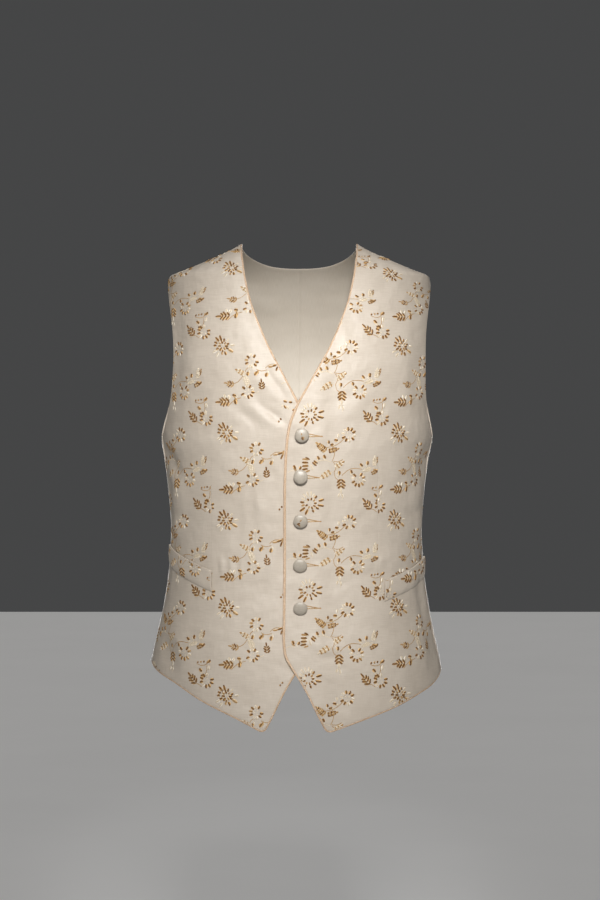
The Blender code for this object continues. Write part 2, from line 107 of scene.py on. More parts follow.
# The body form
Ring = namedtuple("Ring", "height half_width front_depth back_depth lean")
RINGS = [
    Ring(0.026, 0.0745, 0.054, 0.056, 0.0),
    Ring(0.022, 0.0805, 0.058, 0.062, 0.0),
    Ring(0.013, 0.096, 0.064, 0.072, 0.0),
    Ring(0.000, 0.125, 0.072, 0.085, 0.0),
    Ring(-0.012, 0.153, 0.078, 0.093, 0.0),
    Ring(-0.024, 0.1795, 0.083, 0.098, 0.0),
    Ring(-0.045, 0.183, 0.091, 0.104, 0.0),
    Ring(-0.080, 0.1855, 0.104, 0.111, 0.0),
    Ring(-0.130, 0.186, 0.117, 0.117, 0.0),
    Ring(-0.180, 0.185, 0.124, 0.118, -0.001),
    Ring(-0.243, 0.187, 0.125, 0.114, -0.003),
    Ring(-0.275, 0.182, 0.1235, 0.109, -0.004),
    Ring(-0.320, 0.1765, 0.119, 0.101, -0.004),
    Ring(-0.370, 0.173, 0.1135, 0.095, -0.004),
    Ring(-0.420, 0.1755, 0.111, 0.097, -0.004),
    Ring(-0.470, 0.182, 0.1115, 0.106, -0.0042),
    Ring(-0.520, 0.1925, 0.1125, 0.115, -0.005),
    Ring(-0.560, 0.201, 0.113, 0.120, -0.005),
    Ring(-0.650, 0.214, 0.111, 0.124, -0.005),
]
ROUNDNESS = 2.3
RING_SAMPLES = 420
PAST_CENTRE = math.radians(-32)
FORM_STEP = 0.001
FORM_HEIGHTS = np.arange(-0.650, 0.0265, FORM_STEP)
FORM_ALONGS = np.arange(-0.060, 0.330, FORM_STEP)

# The line of the piping on either front
Edge = namedtuple("Edge", "height from_centre")
NECK_POINT = 0.022
NECK_AND_FRONT = [
    Edge(0.0195, 0.0800),
    Edge(0.0130, 0.0794),
    Edge(0.000, 0.0782),
    Edge(-0.030, 0.0735),
    Edge(-0.060, 0.0665),
    Edge(-0.090, 0.0560),
    Edge(-0.125, 0.0410),
    Edge(-0.160, 0.0222),
    Edge(-0.185, 0.0085),
    Edge(-0.198, 0.0015),
    Edge(-0.210, -0.0035),
    Edge(-0.224, -0.0085),
    Edge(-0.240, -0.0116),
    Edge(-0.262, -0.0131),
    Edge(-0.300, -0.0146),
    Edge(-0.400, -0.0151),
    Edge(-0.500, -0.0153),
    Edge(-0.522, -0.0149),
    Edge(-0.536, -0.0128),
    Edge(-0.550, -0.0058),
    Edge(-0.566, 0.0045),
    Edge(-0.590, 0.0180),
    Edge(-0.615, 0.0300),
]
HEM_POINT = Edge(-0.639, 0.0425)
HEM_POINT_ROUND = 0.008
CHEST = -0.222
FOOT = -0.512
HEM_LEFT = [Edge(-0.6245, 0.084), Edge(-0.6035, 0.140), Edge(-0.590, 0.167), Edge(-0.5765, 0.190)]
HEM_RIGHT = [Edge(-0.6215, 0.076), Edge(-0.5965, 0.128), Edge(-0.577, 0.160), Edge(-0.5630, 0.186)]

# Armholes, from the side seam to the shoulder seam
Armhole = namedtuple("Armhole", "height depth")
SHOULDER_TIP = -0.024
UNDERARM = -0.2435
SIDE_SEAM_DEPTH = 0.022
ARMHOLES = {
    "front": [
        Armhole(-0.2405, 0.0300),
        Armhole(-0.2325, 0.0385),
        Armhole(-0.218, 0.0455),
        Armhole(-0.195, 0.0515),
        Armhole(-0.165, 0.0545),
        Armhole(-0.132, 0.0540),
        Armhole(-0.100, 0.0485),
        Armhole(-0.070, 0.0375),
        Armhole(-0.043, 0.0205),
        Armhole(-0.030, 0.0085),
    ],
    "back": [
        Armhole(-0.2425, -0.0120),
        Armhole(-0.2385, 0.0000),
        Armhole(-0.231, 0.0115),
        Armhole(-0.219, 0.0230),
        Armhole(-0.200, 0.0340),
        Armhole(-0.178, 0.0425),
        Armhole(-0.152, 0.0470),
        Armhole(-0.126, 0.0470),
        Armhole(-0.100, 0.0430),
        Armhole(-0.070, 0.0340),
        Armhole(-0.043, 0.0190),
        Armhole(-0.030, 0.0080),
    ],
}

# The back's neck line and hem
NAPE = -0.004
BACK_NECK = [
    Edge(-0.0035, 0.020),
    Edge(-0.0005, 0.043),
    Edge(0.006, 0.062),
    Edge(0.0135, 0.0745),
    Edge(0.0192, 0.0795),
]
BACK_HEM = -0.566

# Soft folds: a ridge (or with a negative rise a trough) from one place to another, fading at its ends.
# The first of each panel are the large ones, and the fine ones follow.
Fold = namedtuple("Fold", "panel along height to_along to_height half_width rise")
FOLDS = [
    Fold("front_right", 0.228, -0.255, 0.165, -0.298, 0.0100, -0.0055),
    Fold("front_right", 0.171, -0.289, 0.187, -0.385, 0.0140, 0.0042),
    Fold("front_right", 0.076, -0.194, 0.033, -0.225, 0.0060, 0.0014),
    Fold("front_right", 0.070, -0.150, 0.022, -0.199, 0.0070, 0.0018),
    Fold("front_right", 0.101, -0.030, 0.073, -0.050, 0.0090, 0.0020),
    Fold("front_right", 0.127, -0.407, 0.087, -0.423, 0.0100, 0.0026),
    Fold("front_right", 0.195, -0.515, 0.170, -0.566, 0.0110, -0.0042),
    Fold("front_right", 0.172, -0.500, 0.148, -0.560, 0.0120, 0.0030),
    Fold("front_right", 0.088, -0.200, 0.050, -0.230, 0.0060, -0.0019),
    Fold("front_right", 0.055, -0.200, 0.009, -0.2315, 0.0038, -0.0021),
    Fold("front_right", 0.052, -0.212, 0.020, -0.236, 0.0045, 0.0012),
    Fold("front_right", 0.046, -0.154, 0.017, -0.193, 0.0036, -0.0017),
    Fold("front_right", 0.082, -0.080, 0.052, -0.156, 0.0080, 0.0012),
    Fold("front_right", 0.172, -0.058, 0.182, -0.194, 0.0100, -0.0020),
    Fold("front_right", 0.052, -0.312, 0.047, -0.365, 0.0045, 0.0014),
    Fold("front_right", 0.063, -0.300, 0.058, -0.360, 0.0050, -0.0012),
    Fold("front_right", 0.075, -0.330, 0.079, -0.395, 0.0060, -0.0015),
    Fold("front_right", 0.025, -0.372, 0.036, -0.440, 0.0060, 0.0016),
    Fold("front_right", 0.014, -0.350, 0.020, -0.425, 0.0050, -0.0012),
    Fold("front_right", 0.030, -0.262, 0.036, -0.325, 0.0060, -0.0013),
    Fold("front_right", 0.118, -0.018, 0.083, -0.042, 0.0045, -0.0012),
    Fold("front_right", 0.215, -0.270, 0.172, -0.318, 0.0060, 0.0022),
    Fold("front_right", 0.208, -0.300, 0.198, -0.345, 0.0050, -0.0014),
    Fold("front_right", 0.109, -0.406, 0.106, -0.428, 0.0025, -0.0014),
    Fold("front_right", 0.101, -0.405, 0.100, -0.431, 0.0022, 0.0012),
    Fold("front_right", 0.094, -0.408, 0.093, -0.430, 0.0024, -0.0014),
    Fold("front_right", 0.087, -0.406, 0.087, -0.433, 0.0022, 0.0012),
    Fold("front_right", 0.081, -0.409, 0.080, -0.431, 0.0024, -0.0012),
    Fold("front_right", 0.073, -0.411, 0.074, -0.430, 0.0022, 0.0009),
    Fold("front_right", 0.152, -0.352, 0.208, -0.346, 0.0050, -0.0014),
    Fold("front_right", 0.158, -0.371, 0.206, -0.366, 0.0045, 0.0010),
    Fold("front_right", 0.150, -0.095, 0.158, -0.215, 0.0120, 0.0012),
    Fold("front_right", 0.052, -0.520, 0.096, -0.590, 0.0100, -0.0012),
    Fold("front_right", 0.010, -0.300, 0.052, -0.306, 0.0050, 0.0007),
    Fold("front_right", 0.008, -0.415, 0.060, -0.424, 0.0060, 0.0007),
    Fold("front_right", 0.110, -0.475, 0.150, -0.492, 0.0080, -0.0011),
    Fold("front_right", 0.060, -0.055, 0.074, -0.120, 0.0050, -0.0008),
    Fold("front_left", 0.222, -0.262, 0.178, -0.305, 0.0110, -0.0040),
    Fold("front_left", 0.186, -0.300, 0.195, -0.388, 0.0140, 0.0034),
    Fold("front_left", 0.095, -0.190, 0.040, -0.235, 0.0100, 0.0020),
    Fold("front_left", 0.105, -0.032, 0.075, -0.052, 0.0090, 0.0016),
    Fold("front_left", 0.089, -0.405, 0.147, -0.420, 0.0110, 0.0026),
    Fold("front_left", 0.040, -0.517, 0.072, -0.530, 0.0085, 0.0018),
    Fold("front_left", 0.214, -0.500, 0.206, -0.566, 0.0110, -0.0034),
    Fold("front_left", 0.005, -0.515, 0.052, -0.525, 0.0045, 0.0012),
    Fold("front_left", 0.036, -0.546, 0.056, -0.580, 0.0050, 0.0014),
    Fold("front_left", 0.026, -0.531, 0.058, -0.528, 0.0028, 0.0013),
    Fold("front_left", 0.024, -0.538, 0.052, -0.539, 0.0026, -0.0013),
    Fold("front_left", 0.022, -0.544, 0.056, -0.548, 0.0027, 0.0013),
    Fold("front_left", 0.024, -0.551, 0.050, -0.556, 0.0026, -0.0011),
    Fold("front_left", 0.028, -0.557, 0.054, -0.564, 0.0030, 0.0011),
    Fold("front_left", 0.188, -0.425, 0.197, -0.505, 0.0085, -0.0036),
    Fold("front_left", 0.052, -0.544, 0.070, -0.572, 0.0050, -0.0010),
    Fold("front_left", 0.020, -0.2445, 0.056, -0.250, 0.0045, 0.0008),
    Fold("front_left", 0.022, -0.302, 0.050, -0.306, 0.0045, 0.0007),
    Fold("front_left", 0.022, -0.360, 0.058, -0.367, 0.0050, 0.0009),
    Fold("front_left", 0.022, -0.418, 0.052, -0.423, 0.0045, 0.0008),
    Fold("front_left", 0.022, -0.474, 0.060, -0.484, 0.0050, 0.0010),
    Fold("front_left", 0.104, -0.402, 0.108, -0.417, 0.0028, -0.0008),
    Fold("front_left", 0.113, -0.404, 0.117, -0.419, 0.0028, 0.0008),
    Fold("front_left", 0.123, -0.407, 0.126, -0.423, 0.0028, -0.0009),
    Fold("front_left", 0.206, -0.335, 0.162, -0.352, 0.0050, -0.0013),
    Fold("front_left", 0.204, -0.360, 0.168, -0.372, 0.0045, 0.0010),
    Fold("front_left", 0.148, -0.090, 0.156, -0.220, 0.0120, 0.0013),
    Fold("front_left", 0.064, -0.110, 0.048, -0.168, 0.0060, 0.0010),
    Fold("front_left", 0.118, -0.490, 0.168, -0.512, 0.0080, -0.0011),
    Fold("front_left", 0.060, -0.055, 0.075, -0.115, 0.0050, -0.0007),
    Fold("back_right", 0.070, -0.300, 0.060, -0.430, 0.0140, 0.0042),
    Fold("back_right", 0.030, -0.330, 0.034, -0.455, 0.0130, -0.0034),
    Fold("back_right", 0.160, -0.255, 0.110, -0.400, 0.0140, -0.0044),
    Fold("back_right", 0.205, -0.262, 0.150, -0.330, 0.0080, 0.0022),
    Fold("back_right", 0.190, -0.345, 0.120, -0.372, 0.0070, -0.0018),
    Fold("back_right", 0.020, -0.060, 0.110, -0.046, 0.0080, -0.0012),
    Fold("back_left", 0.064, -0.310, 0.072, -0.440, 0.0140, 0.0040),
    Fold("back_left", 0.028, -0.300, 0.030, -0.420, 0.0130, -0.0034),
    Fold("back_left", 0.166, -0.262, 0.118, -0.390, 0.0140, -0.0040),
    Fold("back_left", 0.210, -0.270, 0.160, -0.342, 0.0080, 0.0022),
    Fold("back_left", 0.184, -0.356, 0.112, -0.366, 0.0070, -0.0016),
    Fold("back_left", 0.024, -0.050, 0.104, -0.058, 0.0080, -0.0012),
]

# Panels. side is +1 for the wearer's left.
Panel = namedtuple("Panel", "name side face laps hem side_hem wall")
PANELS = [
    Panel("front_right", -1, "front", False, HEM_RIGHT, -0.552, FRONT_WALL),
    Panel("front_left", 1, "front", True, HEM_LEFT, -0.563, FRONT_WALL),
    Panel("back_right", -1, "back", False, None, -0.552, BACK_WALL),
    Panel("back_left", 1, "back", False, None, -0.563, BACK_WALL),
]
FRONTS = PANELS[:2]
BACKS = PANELS[2:]
UPPER_FRONT = PANELS[1]
Welt = namedtuple("Welt", "along height rise")
WELTS = {"front_right": Welt(0.1157, -0.4235, 0.36), "front_left": Welt(0.1212, -0.4370, 0.33)}

# A dart in each front, from the chest to the pocket. Its seam takes in this much cloth where it is widest.
Dart = namedtuple("Dart", "along top foot intake")
DARTS = {
    "front_right": Dart(0.1170, -0.262, -0.422, 0.004),
    "front_left": Dart(0.1116, -0.262, -0.425, 0.004),
}

# How finely the cloth is divided, and how near two points are merged
MERGE_DISTANCE = 1e-6
SHOULDER_SAMPLES = 200
EDGE_FADE = 5  # the higher, the sooner the shape of the hem and of the shoulder fades from row to row
NORMAL_REACH = 0.002  # the outward direction is taken from points this far away
FOLD_START = 0.08  # a fold's height follows half a wave from this share of it on, so its ends are low
LOW_ROWS = 105
HIGH_ROWS = 105
DIAGONAL_COLUMNS = 30
HEM_COLUMNS = 54
NECK_COLUMNS = 32
SHOULDER_COLUMNS = 44
WELT_DIVISIONS = (44, 14)
BEND_WEIGHT = 0.10

# The embroidery. The sprig repeats across and up the cloth, and the fronts match at the centre.
SPRIG_WIDTH = 0.2358
SPRIG_HEIGHT = 0.1172
SPRIG_START = (0.1433, -0.3563)  # across and height of one full flower
WELT_SHIFT = (0.013, -0.004)  # the welts' cloth doesn't quite match the front's
# Where the pattern lies on the made-up fronts, outwards and upwards of its place on a straight grain
Grain = namedtuple("Grain", "height outwards upwards")
GRAIN = {
    "front_right": [
        Grain(-0.270, 0.0, 0.0),
        Grain(-0.240, 0.0020, 0.0),
        Grain(-0.215, 0.0060, 0.0),
        Grain(-0.190, 0.0105, 0.0),
        Grain(-0.090, 0.0112, 0.0),
        Grain(-0.060, 0.0080, 0.0),
        Grain(-0.020, -0.0005, -0.0035),
    ],
    "front_left": [
        Grain(-0.115, 0.0, 0.0),
        Grain(-0.075, -0.0050, 0.0),
        Grain(-0.020, -0.0146, -0.0110),
        Grain(0.020, -0.0200, -0.0140),
    ],
}
MERIDIAN = 0.09  # the cloth's length up and down is measured this far along from the centre
STITCH_ALONG = (0.0, 0.16, 0.42, 0.68, 0.88, 1.0)
STITCH_ACROSS = (1.0, 0.55, 0.0, -0.55, -1.0)
STITCH_BLUNTNESS = 0.30  # a stitch's width at its very ends, as a share of the widest
STITCH_RISE = 0.22  # height of a stitch above the cloth, as a share of its width
STITCH_SINK = 0.0001
STITCH_FATNESS = 1.42
STITCH_REACH = 1.1  # the rounded ends of a stitch go this much further than the chart has them
STITCH_MARGIN = 0.0005  # from the edge of the cloth to the nearest stitching
STITCHES_PAST = 0.01  # sprigs are laid out this far past a panel's box before they are cut off
MILLIMETRE = 0.001
THREADS = "bgc"  # brown, gold and cream

# The petals of the two large flowers: each points away from the middle and starts this far from it.
# Millimetres and degrees, turning from the right through the top.
Petal = namedtuple("Petal", "turn radius length width thread")
FLOWERS = {
    "full": [
        Petal(131, 8.2, 7.4, 2.9, "b"),
        Petal(107, 7.2, 7.6, 2.8, "b"),
        Petal(78, 5.9, 4.4, 2.4, "b"),
        Petal(50, 8.0, 4.6, 2.3, "c"),
        Petal(22, 5.9, 3.6, 2.5, "b"),
        Petal(4, 10.2, 6.0, 2.5, "c"),
        Petal(-30, 8.6, 7.6, 3.5, "g"),
        Petal(-70, 7.9, 5.0, 2.9, "b"),
        Petal(-96, 7.4, 4.4, 2.4, "g"),
        Petal(-124, 10.6, 6.4, 2.6, "c"),
        Petal(-149, 10.0, 7.0, 2.8, "c"),
        Petal(176, 9.0, 4.2, 2.6, "b"),
        Petal(155, 8.6, 4.6, 2.7, "b"),
        Petal(205, 6.0, 4.6, 2.8, "b"),
        Petal(0, 2.8, 4.4, 2.9, "b"),
        Petal(52, 3.2, 3.4, 2.0, "g"),
        Petal(102, 3.0, 4.2, 2.6, "b"),
        Petal(142, 3.8, 3.6, 2.2, "g"),
        Petal(182, 2.4, 4.2, 2.6, "b"),
        Petal(236, 2.6, 5.0, 2.8, "b"),
        Petal(268, 5.0, 3.4, 2.2, "b"),
        Petal(306, 1.8, 4.4, 2.5, "g"),
        Petal(334, 4.6, 4.0, 2.3, "b"),
        Petal(80, 0.2, 2.6, 1.8, "c"),
    ],
    "open": [
        Petal(17, 10.6, 7.2, 2.8, "b"),
        Petal(-12, 9.2, 7.8, 2.8, "b"),
        Petal(52, 8.4, 4.4, 2.6, "b"),
        Petal(-36, 8.2, 4.4, 2.6, "b"),
        Petal(-73, 8.4, 4.0, 2.5, "b"),
        Petal(-116, 8.6, 7.6, 2.9, "b"),
        Petal(-144, 9.2, 8.0, 2.9, "b"),
        Petal(-166, 8.0, 4.4, 2.4, "g"),
        Petal(172, 8.6, 5.2, 2.6, "b"),
        Petal(150, 8.6, 5.0, 2.2, "c"),
        Petal(128, 9.4, 6.4, 2.2, "c"),
        Petal(108, 9.6, 6.6, 2.2, "c"),
        Petal(88, 9.4, 6.4, 2.2, "c"),
        Petal(70, 8.4, 5.0, 2.2, "c"),
        Petal(5, 4.0, 3.6, 2.3, "b"),
        Petal(45, 4.2, 3.4, 2.2, "g"),
        Petal(85, 4.0, 3.6, 2.3, "b"),
        Petal(125, 4.2, 3.4, 2.3, "b"),
        Petal(165, 4.0, 3.6, 2.2, "c"),
        Petal(205, 4.2, 3.6, 2.3, "b"),
        Petal(245, 4.0, 3.4, 2.2, "g"),
        Petal(285, 4.2, 3.6, 2.3, "b"),
        Petal(325, 4.0, 3.6, 2.3, "b"),
    ],
}

# Small stitches between the petals of either
FLOWER_FILLING = [Petal(turn, 5.5, 2.5, 1.4, "c") for turn in range(20, 360, 36)]

# A wreath has ten places round it, from its own turn against the sun, and some are left empty
WREATH_PLACES = 10
WREATH_RADIUS = 4.8
WREATH_PETAL = (4.7, 2.8)
WREATH_MIDDLE = [
    Petal(40, 1.6, 2.4, 1.2, "c"),
    Petal(165, 1.8, 2.6, 1.2, "c"),
    Petal(285, 1.6, 2.4, 1.2, "c"),
]

# A fern and a feathery leaf: pairs of leaflets, how far apart, their length and width, and their lean
Leaflets = namedtuple("Leaflets", "pairs gap length width lean")
FERN = Leaflets(3, 4.0, 6.8, 2.4, 50)
LEAF = Leaflets(5, 2.4, 3.7, 2.3, 70)
LEAFLET_START = 1.2  # from the foot of the stem to the first pair
LEAFLET_TIP = 0.4  # the tip starts this share of a gap before the next pair would
LEAFLET_FULLEST = 0.7  # place of the longest pair, from 0 at the foot to 2 at the top
LEAFLET_SHORTENING = 0.15

# A bud's paler foot and its fat tip, a petal by itself and a dot: length and width, and a bud's two leans
BUD_FOOT = (4.4, 1.9)
BUD_TIP = (4.9, 3.2)
BUD_FOOT_LEAN = 26
BUD_TIP_LEAN = -6
BUD_TIP_START = 2.4
LONE_PETAL = (5.0, 2.6)
DOT = (2.6, 2.2)
DOT_LEAN = 40
DOT_GAP = 4.4

# One sprig: its flowers, leaves and buds, right and up from the full flower, in millimetres and degrees
Motif = namedtuple("Motif", "kind x y turn size threads")
SPRIG = [
    Motif("full", 0, 0, 0, 1.0, ""),
    Motif("open", -126, 24, 0, 1.0, ""),
    Motif("wreath", 40, -21, 133, 1.0, "bcb-bbc-bg"),
    Motif("wreath", 35, -62, 137, 1.0, "bcbcbbbcb-"),
    Motif("wreath", -28, 20, 158, 1.05, "bbc-bbbbcb"),
    Motif("wreath", -74, -2, 100, 1.05, "bbbcbcbbcc"),
    Motif("wreath", -61, -62, 132, 1.05, "b-bgcgbbbc"),
    Motif("fern", -85, -60, 270, 1.08, "bbbc"),
    Motif("petal", -87, -80, 250, 1.0, "c"),
    Motif("petal", -84, -81, 285, 1.0, "c"),
    Motif("fern", -43, 15, 130, 1.05, "bbb"),
    Motif("fern", 55, -60, 97, 0.82, "bbb"),
    Motif("fern", 17, -53, 168, 0.82, "gbg"),
    Motif("fern", 10, -75, 182, 1.12, "bbb"),
    Motif("petal", 4, -72, 98, 1.25, "c"),
    Motif("petal", 8, -72, 72, 1.2, "c"),
    Motif("leaf", -104, -24, 140, 1.15, "gbg"),
    Motif("leaf", -101, -24, 14, 0.95, "bg"),
    Motif("leaf", -92, -46, 36, 0.95, "cg"),
    Motif("leaf", -99, -51, 212, 1.1, "gc"),
    Motif("leaf", 31, -39, 152, 0.95, "cg"),
    Motif("leaf", 31, -41, 286, 1.0, "cc"),
    Motif("leaf", -43, -47, 198, 0.8, "cc"),
    Motif("leaf", -38, -44, 84, 0.9, "cc"),
    Motif("leaf", -43, -54, 22, 0.75, "bg"),
    Motif("leaf", -36, -40, 66, 0.65, "gb"),
    Motif("bud", -86, -10, 176, 1.0, "bc"),
    Motif("petal", -88, -6, 95, 1.0, "c"),
    Motif("bud", -92, -14, 200, 0.9, "bc"),
    Motif("bud", -100, -16, 104, 0.85, "bc"),
    Motif("bud", -112, -37, 124, 1.0, "bc"),
    Motif("bud", -104, -36, 118, 1.05, "bc"),
    Motif("bud", -87, -58, 92, 1.0, "bc"),
    Motif("bud", -69, -56, 112, 0.95, "bc"),
    Motif("bud", -53, -46, 138, 1.0, "bc"),
    Motif("bud", -48, -45, 88, 1.05, "bc"),
    Motif("bud", -40, -49, 350, 0.9, "bg"),
    Motif("bud", -36, -53, 52, 0.9, "bg"),
    Motif("dots", -42, 43, 8, 1.0, "bgb"),
    Motif("bud", -28, 42, 52, 1.0, "bg"),
    Motif("petal", -26, 34, 78, 1.2, "c"),
    Motif("bud", -33, 30, 140, 1.1, "bc"),
    Motif("bud", -29, 27, 188, 1.0, "bg"),
    Motif("bud", 61, -34, 262, 1.1, "bc"),
    Motif("bud", 49, -33, 244, 1.15, "bg"),
    Motif("bud", 36, -33, 262, 1.05, "bc"),
    Motif("petal", 37, -31, 92, 0.9, "c"),
    Motif("bud", 22, -68, 172, 1.05, "bc"),
    Motif("bud", 17, -69, 276, 1.25, "bg"),
    Motif("bud", 92, -49, 124, 1.0, "bg"),
    Motif("bud", 95, -50, 68, 0.9, "bc"),
    Motif("dots", 72, 14, 48, 1.0, "bb"),
]

# Leaflets of the one-sided spray at the sprig's left end, and the two blades at its right end
Stitch = namedtuple("Stitch", "x y turn length width thread")
SPRAY = [
    Stitch(-128, -35, 174, 7.2, 2.4, "g"),
    Stitch(-128, -39, 178, 7.6, 2.7, "b"),
    Stitch(-128, -43, 184, 7.6, 2.8, "b"),
    Stitch(-129, -47, 190, 7.2, 2.5, "b"),
    Stitch(-126, -35, 150, 6.0, 2.2, "b"),
    Stitch(-123, -38, 318, 7.0, 2.4, "b"),
    Stitch(-121, -36, 322, 6.0, 2.3, "b"),
    Stitch(-125, -41, 290, 7.6, 1.9, "c"),
    Stitch(-126, -49, 200, 6.0, 1.9, "g"),
    Stitch(62, -29, 8, 6.4, 2.2, "g"),
    Stitch(68, -28, 20, 7.0, 2.4, "b"),
    Stitch(76, -23, 262, 6.4, 2.4, "g"),
    Stitch(75, -28, 250, 6.4, 2.2, "b"),
]

# Part of one more flower, on the wearer's right front only, by the foot of the neck
SCRAPS = {
    "front_right": [
        Stitch(82, 43, -20, 4.6, 2.8, "b"),
        Stitch(89, 41, 3, 4.2, 2.6, "b"),
        Stitch(82, 37, -64, 4.6, 2.6, "b"),
        Stitch(80, 38, 268, 4.4, 2.2, "c"),
        Stitch(92, 30, 20, 4.4, 2.6, "b"),
        Stitch(92, 27, -25, 3.4, 2.0, "g"),
        Stitch(86, 36, 290, 4.6, 2.0, "c"),
    ],
    "front_left": [],
}

# Stems, from one place to another, bowed to the left of their way
Stem = namedtuple("Stem", "x y to_x to_y bow thread")
STEMS = [
    Stem(-48, 15, -36, 12, 2, "g"),
    Stem(-33, 25, -28, 40, -2, "g"),
    Stem(-28, 42, -42, 42, 2, "g"),
    Stem(-80, -7, -104, -19, 3, "g"),
    Stem(-95, -16, -96, -37, 3, "g"),
    Stem(-95, -38, -94, -52, 3, "g"),
    Stem(-92, -38, -91, -52, 3, "c"),
    Stem(-95, -37, -82, -35, -2, "g"),
    Stem(-94, -52, -85, -64, -3, "g"),
    Stem(-96, -50, -102, -55, 1, "c"),
    Stem(-97, -39, -115, -37, -2, "c"),
    Stem(-115, -38, -122, -42, 1, "c"),
    Stem(-85, -80, -84, -88, 1, "c"),
    Stem(-84, -57, -56, -48, 5, "g"),
    Stem(-56, -60, -39, -46, 4, "c"),
    Stem(11, -52, 28, -41, -3, "g"),
    Stem(29, -41, 35, -54, 2, "c"),
    Stem(32, -40, 38, -53, 2, "c"),
    Stem(31, -39, 37, -29, 2, "g"),
    Stem(46, -32, 60, -33, -2, "g"),
    Stem(58, -31, 74, -26, 3, "g"),
    Stem(40, -62, 50, -62, -2, "c"),
    Stem(26, -70, 7, -81, -2, "g"),
    Stem(80, -52, 92, -51, 2, "c"),
]
STEM_STITCH = (3.4, 0.9)  # length and width
STEM_OVERLAP = 0.72

# Scraps of embroidery on two of the buttons, right and up from the middle, in millimetres and degrees
BUTTON_FLOWERS = {
    0: [
        Stitch(0.2, -1.0, 282, 5.4, 3.3, "b"),
        Stitch(2.6, -1.2, 258, 4.6, 2.7, "g"),
        Stitch(-0.2, 0.6, 96, 3.0, 2.0, "g"),
    ],
    2: [
        Stitch(-0.6, -1.0, 208, 5.0, 3.0, "b"),
        Stitch(-3.0, -2.6, 305, 4.0, 2.6, "b"),
        Stitch(-0.8, 1.0, 56, 3.6, 2.0, "g"),
    ],
}

# Colours, each from its darkest to its palest
SILK_COLOURS = ((0.42, 0.355, 0.285), (0.58, 0.515, 0.435))
BACK_COLOURS = ((0.47, 0.40, 0.32), (0.60, 0.53, 0.445))
LINING_COLOURS = ((0.50, 0.44, 0.36), (0.61, 0.555, 0.475))
PIPING_COLOURS = ((0.42, 0.265, 0.15), (0.68, 0.51, 0.36))
BUTTON_COLOURS = ((0.32, 0.28, 0.225), (0.46, 0.41, 0.34))
# A thread's palest colour shows mostly in the painted highlight along each stitch's rim
THREAD_COLOURS = {
    "brown": ((0.105, 0.037, 0.004), (0.76, 0.48, 0.20)),
    "gold": ((0.34, 0.19, 0.065), (0.76, 0.57, 0.34)),
    "cream": ((0.60, 0.49, 0.34), (0.90, 0.83, 0.72)),
}
FLOOR_COLOURS = ((0.86, 0.855, 0.845), (0.89, 0.885, 0.875))

# Threads: how far apart they lie, and where a painted highlight makes a stitch paler towards its rim, more
# on one side
PIPING_THREAD_PITCH = 0.00055
EMBROIDERY_THREAD_PITCH = 0.00038
WAVE_PITCH = 0.314  # the wave texture repeats this far apart at a scale of 1
PAINTED_HIGHLIGHT_SHIFT = 0.0003
PAINTED_HIGHLIGHT_SPAN = (0.0009, 0.0015)

# The floor, the light and the camera
FLOOR_HEIGHT = -1.40
FLOOR_HALF_WIDTH = 12.0
WORLD_COLOUR = (0.86, 0.87, 0.88)
WORLD_STRENGTH = 0.07
Lamp = namedtuple("Lamp", "name place aim size watts spread")
LAMPS = [
    Lamp("key_high", (0.06, -1.8, 0.66), (0.008, 0.0, -0.19), 0.36, 0.74, math.radians(15)),
    Lamp("key_low", (0.04, -1.8, 0.36), (0.004, 0.0, -0.60), 0.34, 0.42, math.radians(14.5)),
    Lamp("back", (0.0, 2.2, -0.3), (0.0, 0.0, -0.3), 1.4, 45.0, math.pi),
]
LAMP_COLOUR = (1.0, 0.99, 0.98)
OVERHEAD_STRENGTH = 1.0
OVERHEAD_ANGLE = math.radians(40)
CAMERA_PLACE = (0.001, -2.94, -0.262)
CAMERA_LENS = 85


# The body form and the cloth on it


def through(at, places, values):
    """A smooth value that passes through the given ones and never overshoots them."""
    places, values = np.asarray(places, float), np.asarray(values, float)
    steps = np.diff(places)
    rates = np.diff(values) / steps
    slopes = np.concatenate([rates[:1], np.zeros(len(rates) - 1), rates[-1:]])
    same_way = rates[:-1] * rates[1:] > 0
    both = np.where(same_way, rates[:-1] + rates[1:], 1.0)
    slopes[1:-1] = np.where(same_way, 2 * rates[:-1] * rates[1:] / both, 0.0)
    span = np.clip(np.searchsorted(places, at) - 1, 0, len(steps) - 1)
    step = steps[span]
    share = np.clip((at - places[span]) / step, 0, 1)
    rest = 1 - share
    return (
        values[span] * rest * rest * (1 + 2 * share)
        + values[span + 1] * share * share * (1 + 2 * rest)
        + (slopes[span] * rest - slopes[span + 1] * share) * step * share * rest
    )


def form_rings(face):
    """x, y and lean of the form, one row for each height and one column for each length along."""
    low_to_high = RINGS[::-1]
    places = [ring.height for ring in low_to_high]
    columns = {}
    for name in Ring._fields:
        columns[name] = through(FORM_HEIGHTS, places, [getattr(ring, name) for ring in low_to_high])
    near, far, outward = columns["front_depth"], columns["back_depth"], -1.0
    if face == "back":
        near, far, outward = far, near, 1.0
    turn = np.linspace(PAST_CENTRE, math.pi, RING_SAMPLES)
    power = 2 / ROUNDNESS
    rings = np.empty((len(FORM_HEIGHTS), len(FORM_ALONGS), 3))
    for i, half_width in enumerate(columns["half_width"]):
        x = half_width * np.sign(np.sin(turn)) * np.abs(np.sin(turn)) ** power
        y = outward * np.where(turn < math.pi / 2, near[i], -far[i]) * np.abs(np.cos(turn)) ** power
        length = np.concatenate([[0.0], np.cumsum(np.hypot(np.diff(x), np.diff(y)))])
        length -= np.interp(0.0, turn, length)
        rings[i, :, 0] = np.interp(FORM_ALONGS, length, x)
        rings[i, :, 1] = np.interp(FORM_ALONGS, length, y)
        rings[i, :, 2] = columns["lean"][i]
    return rings


FORM = {"front": form_rings("front"), "back": form_rings("back")}


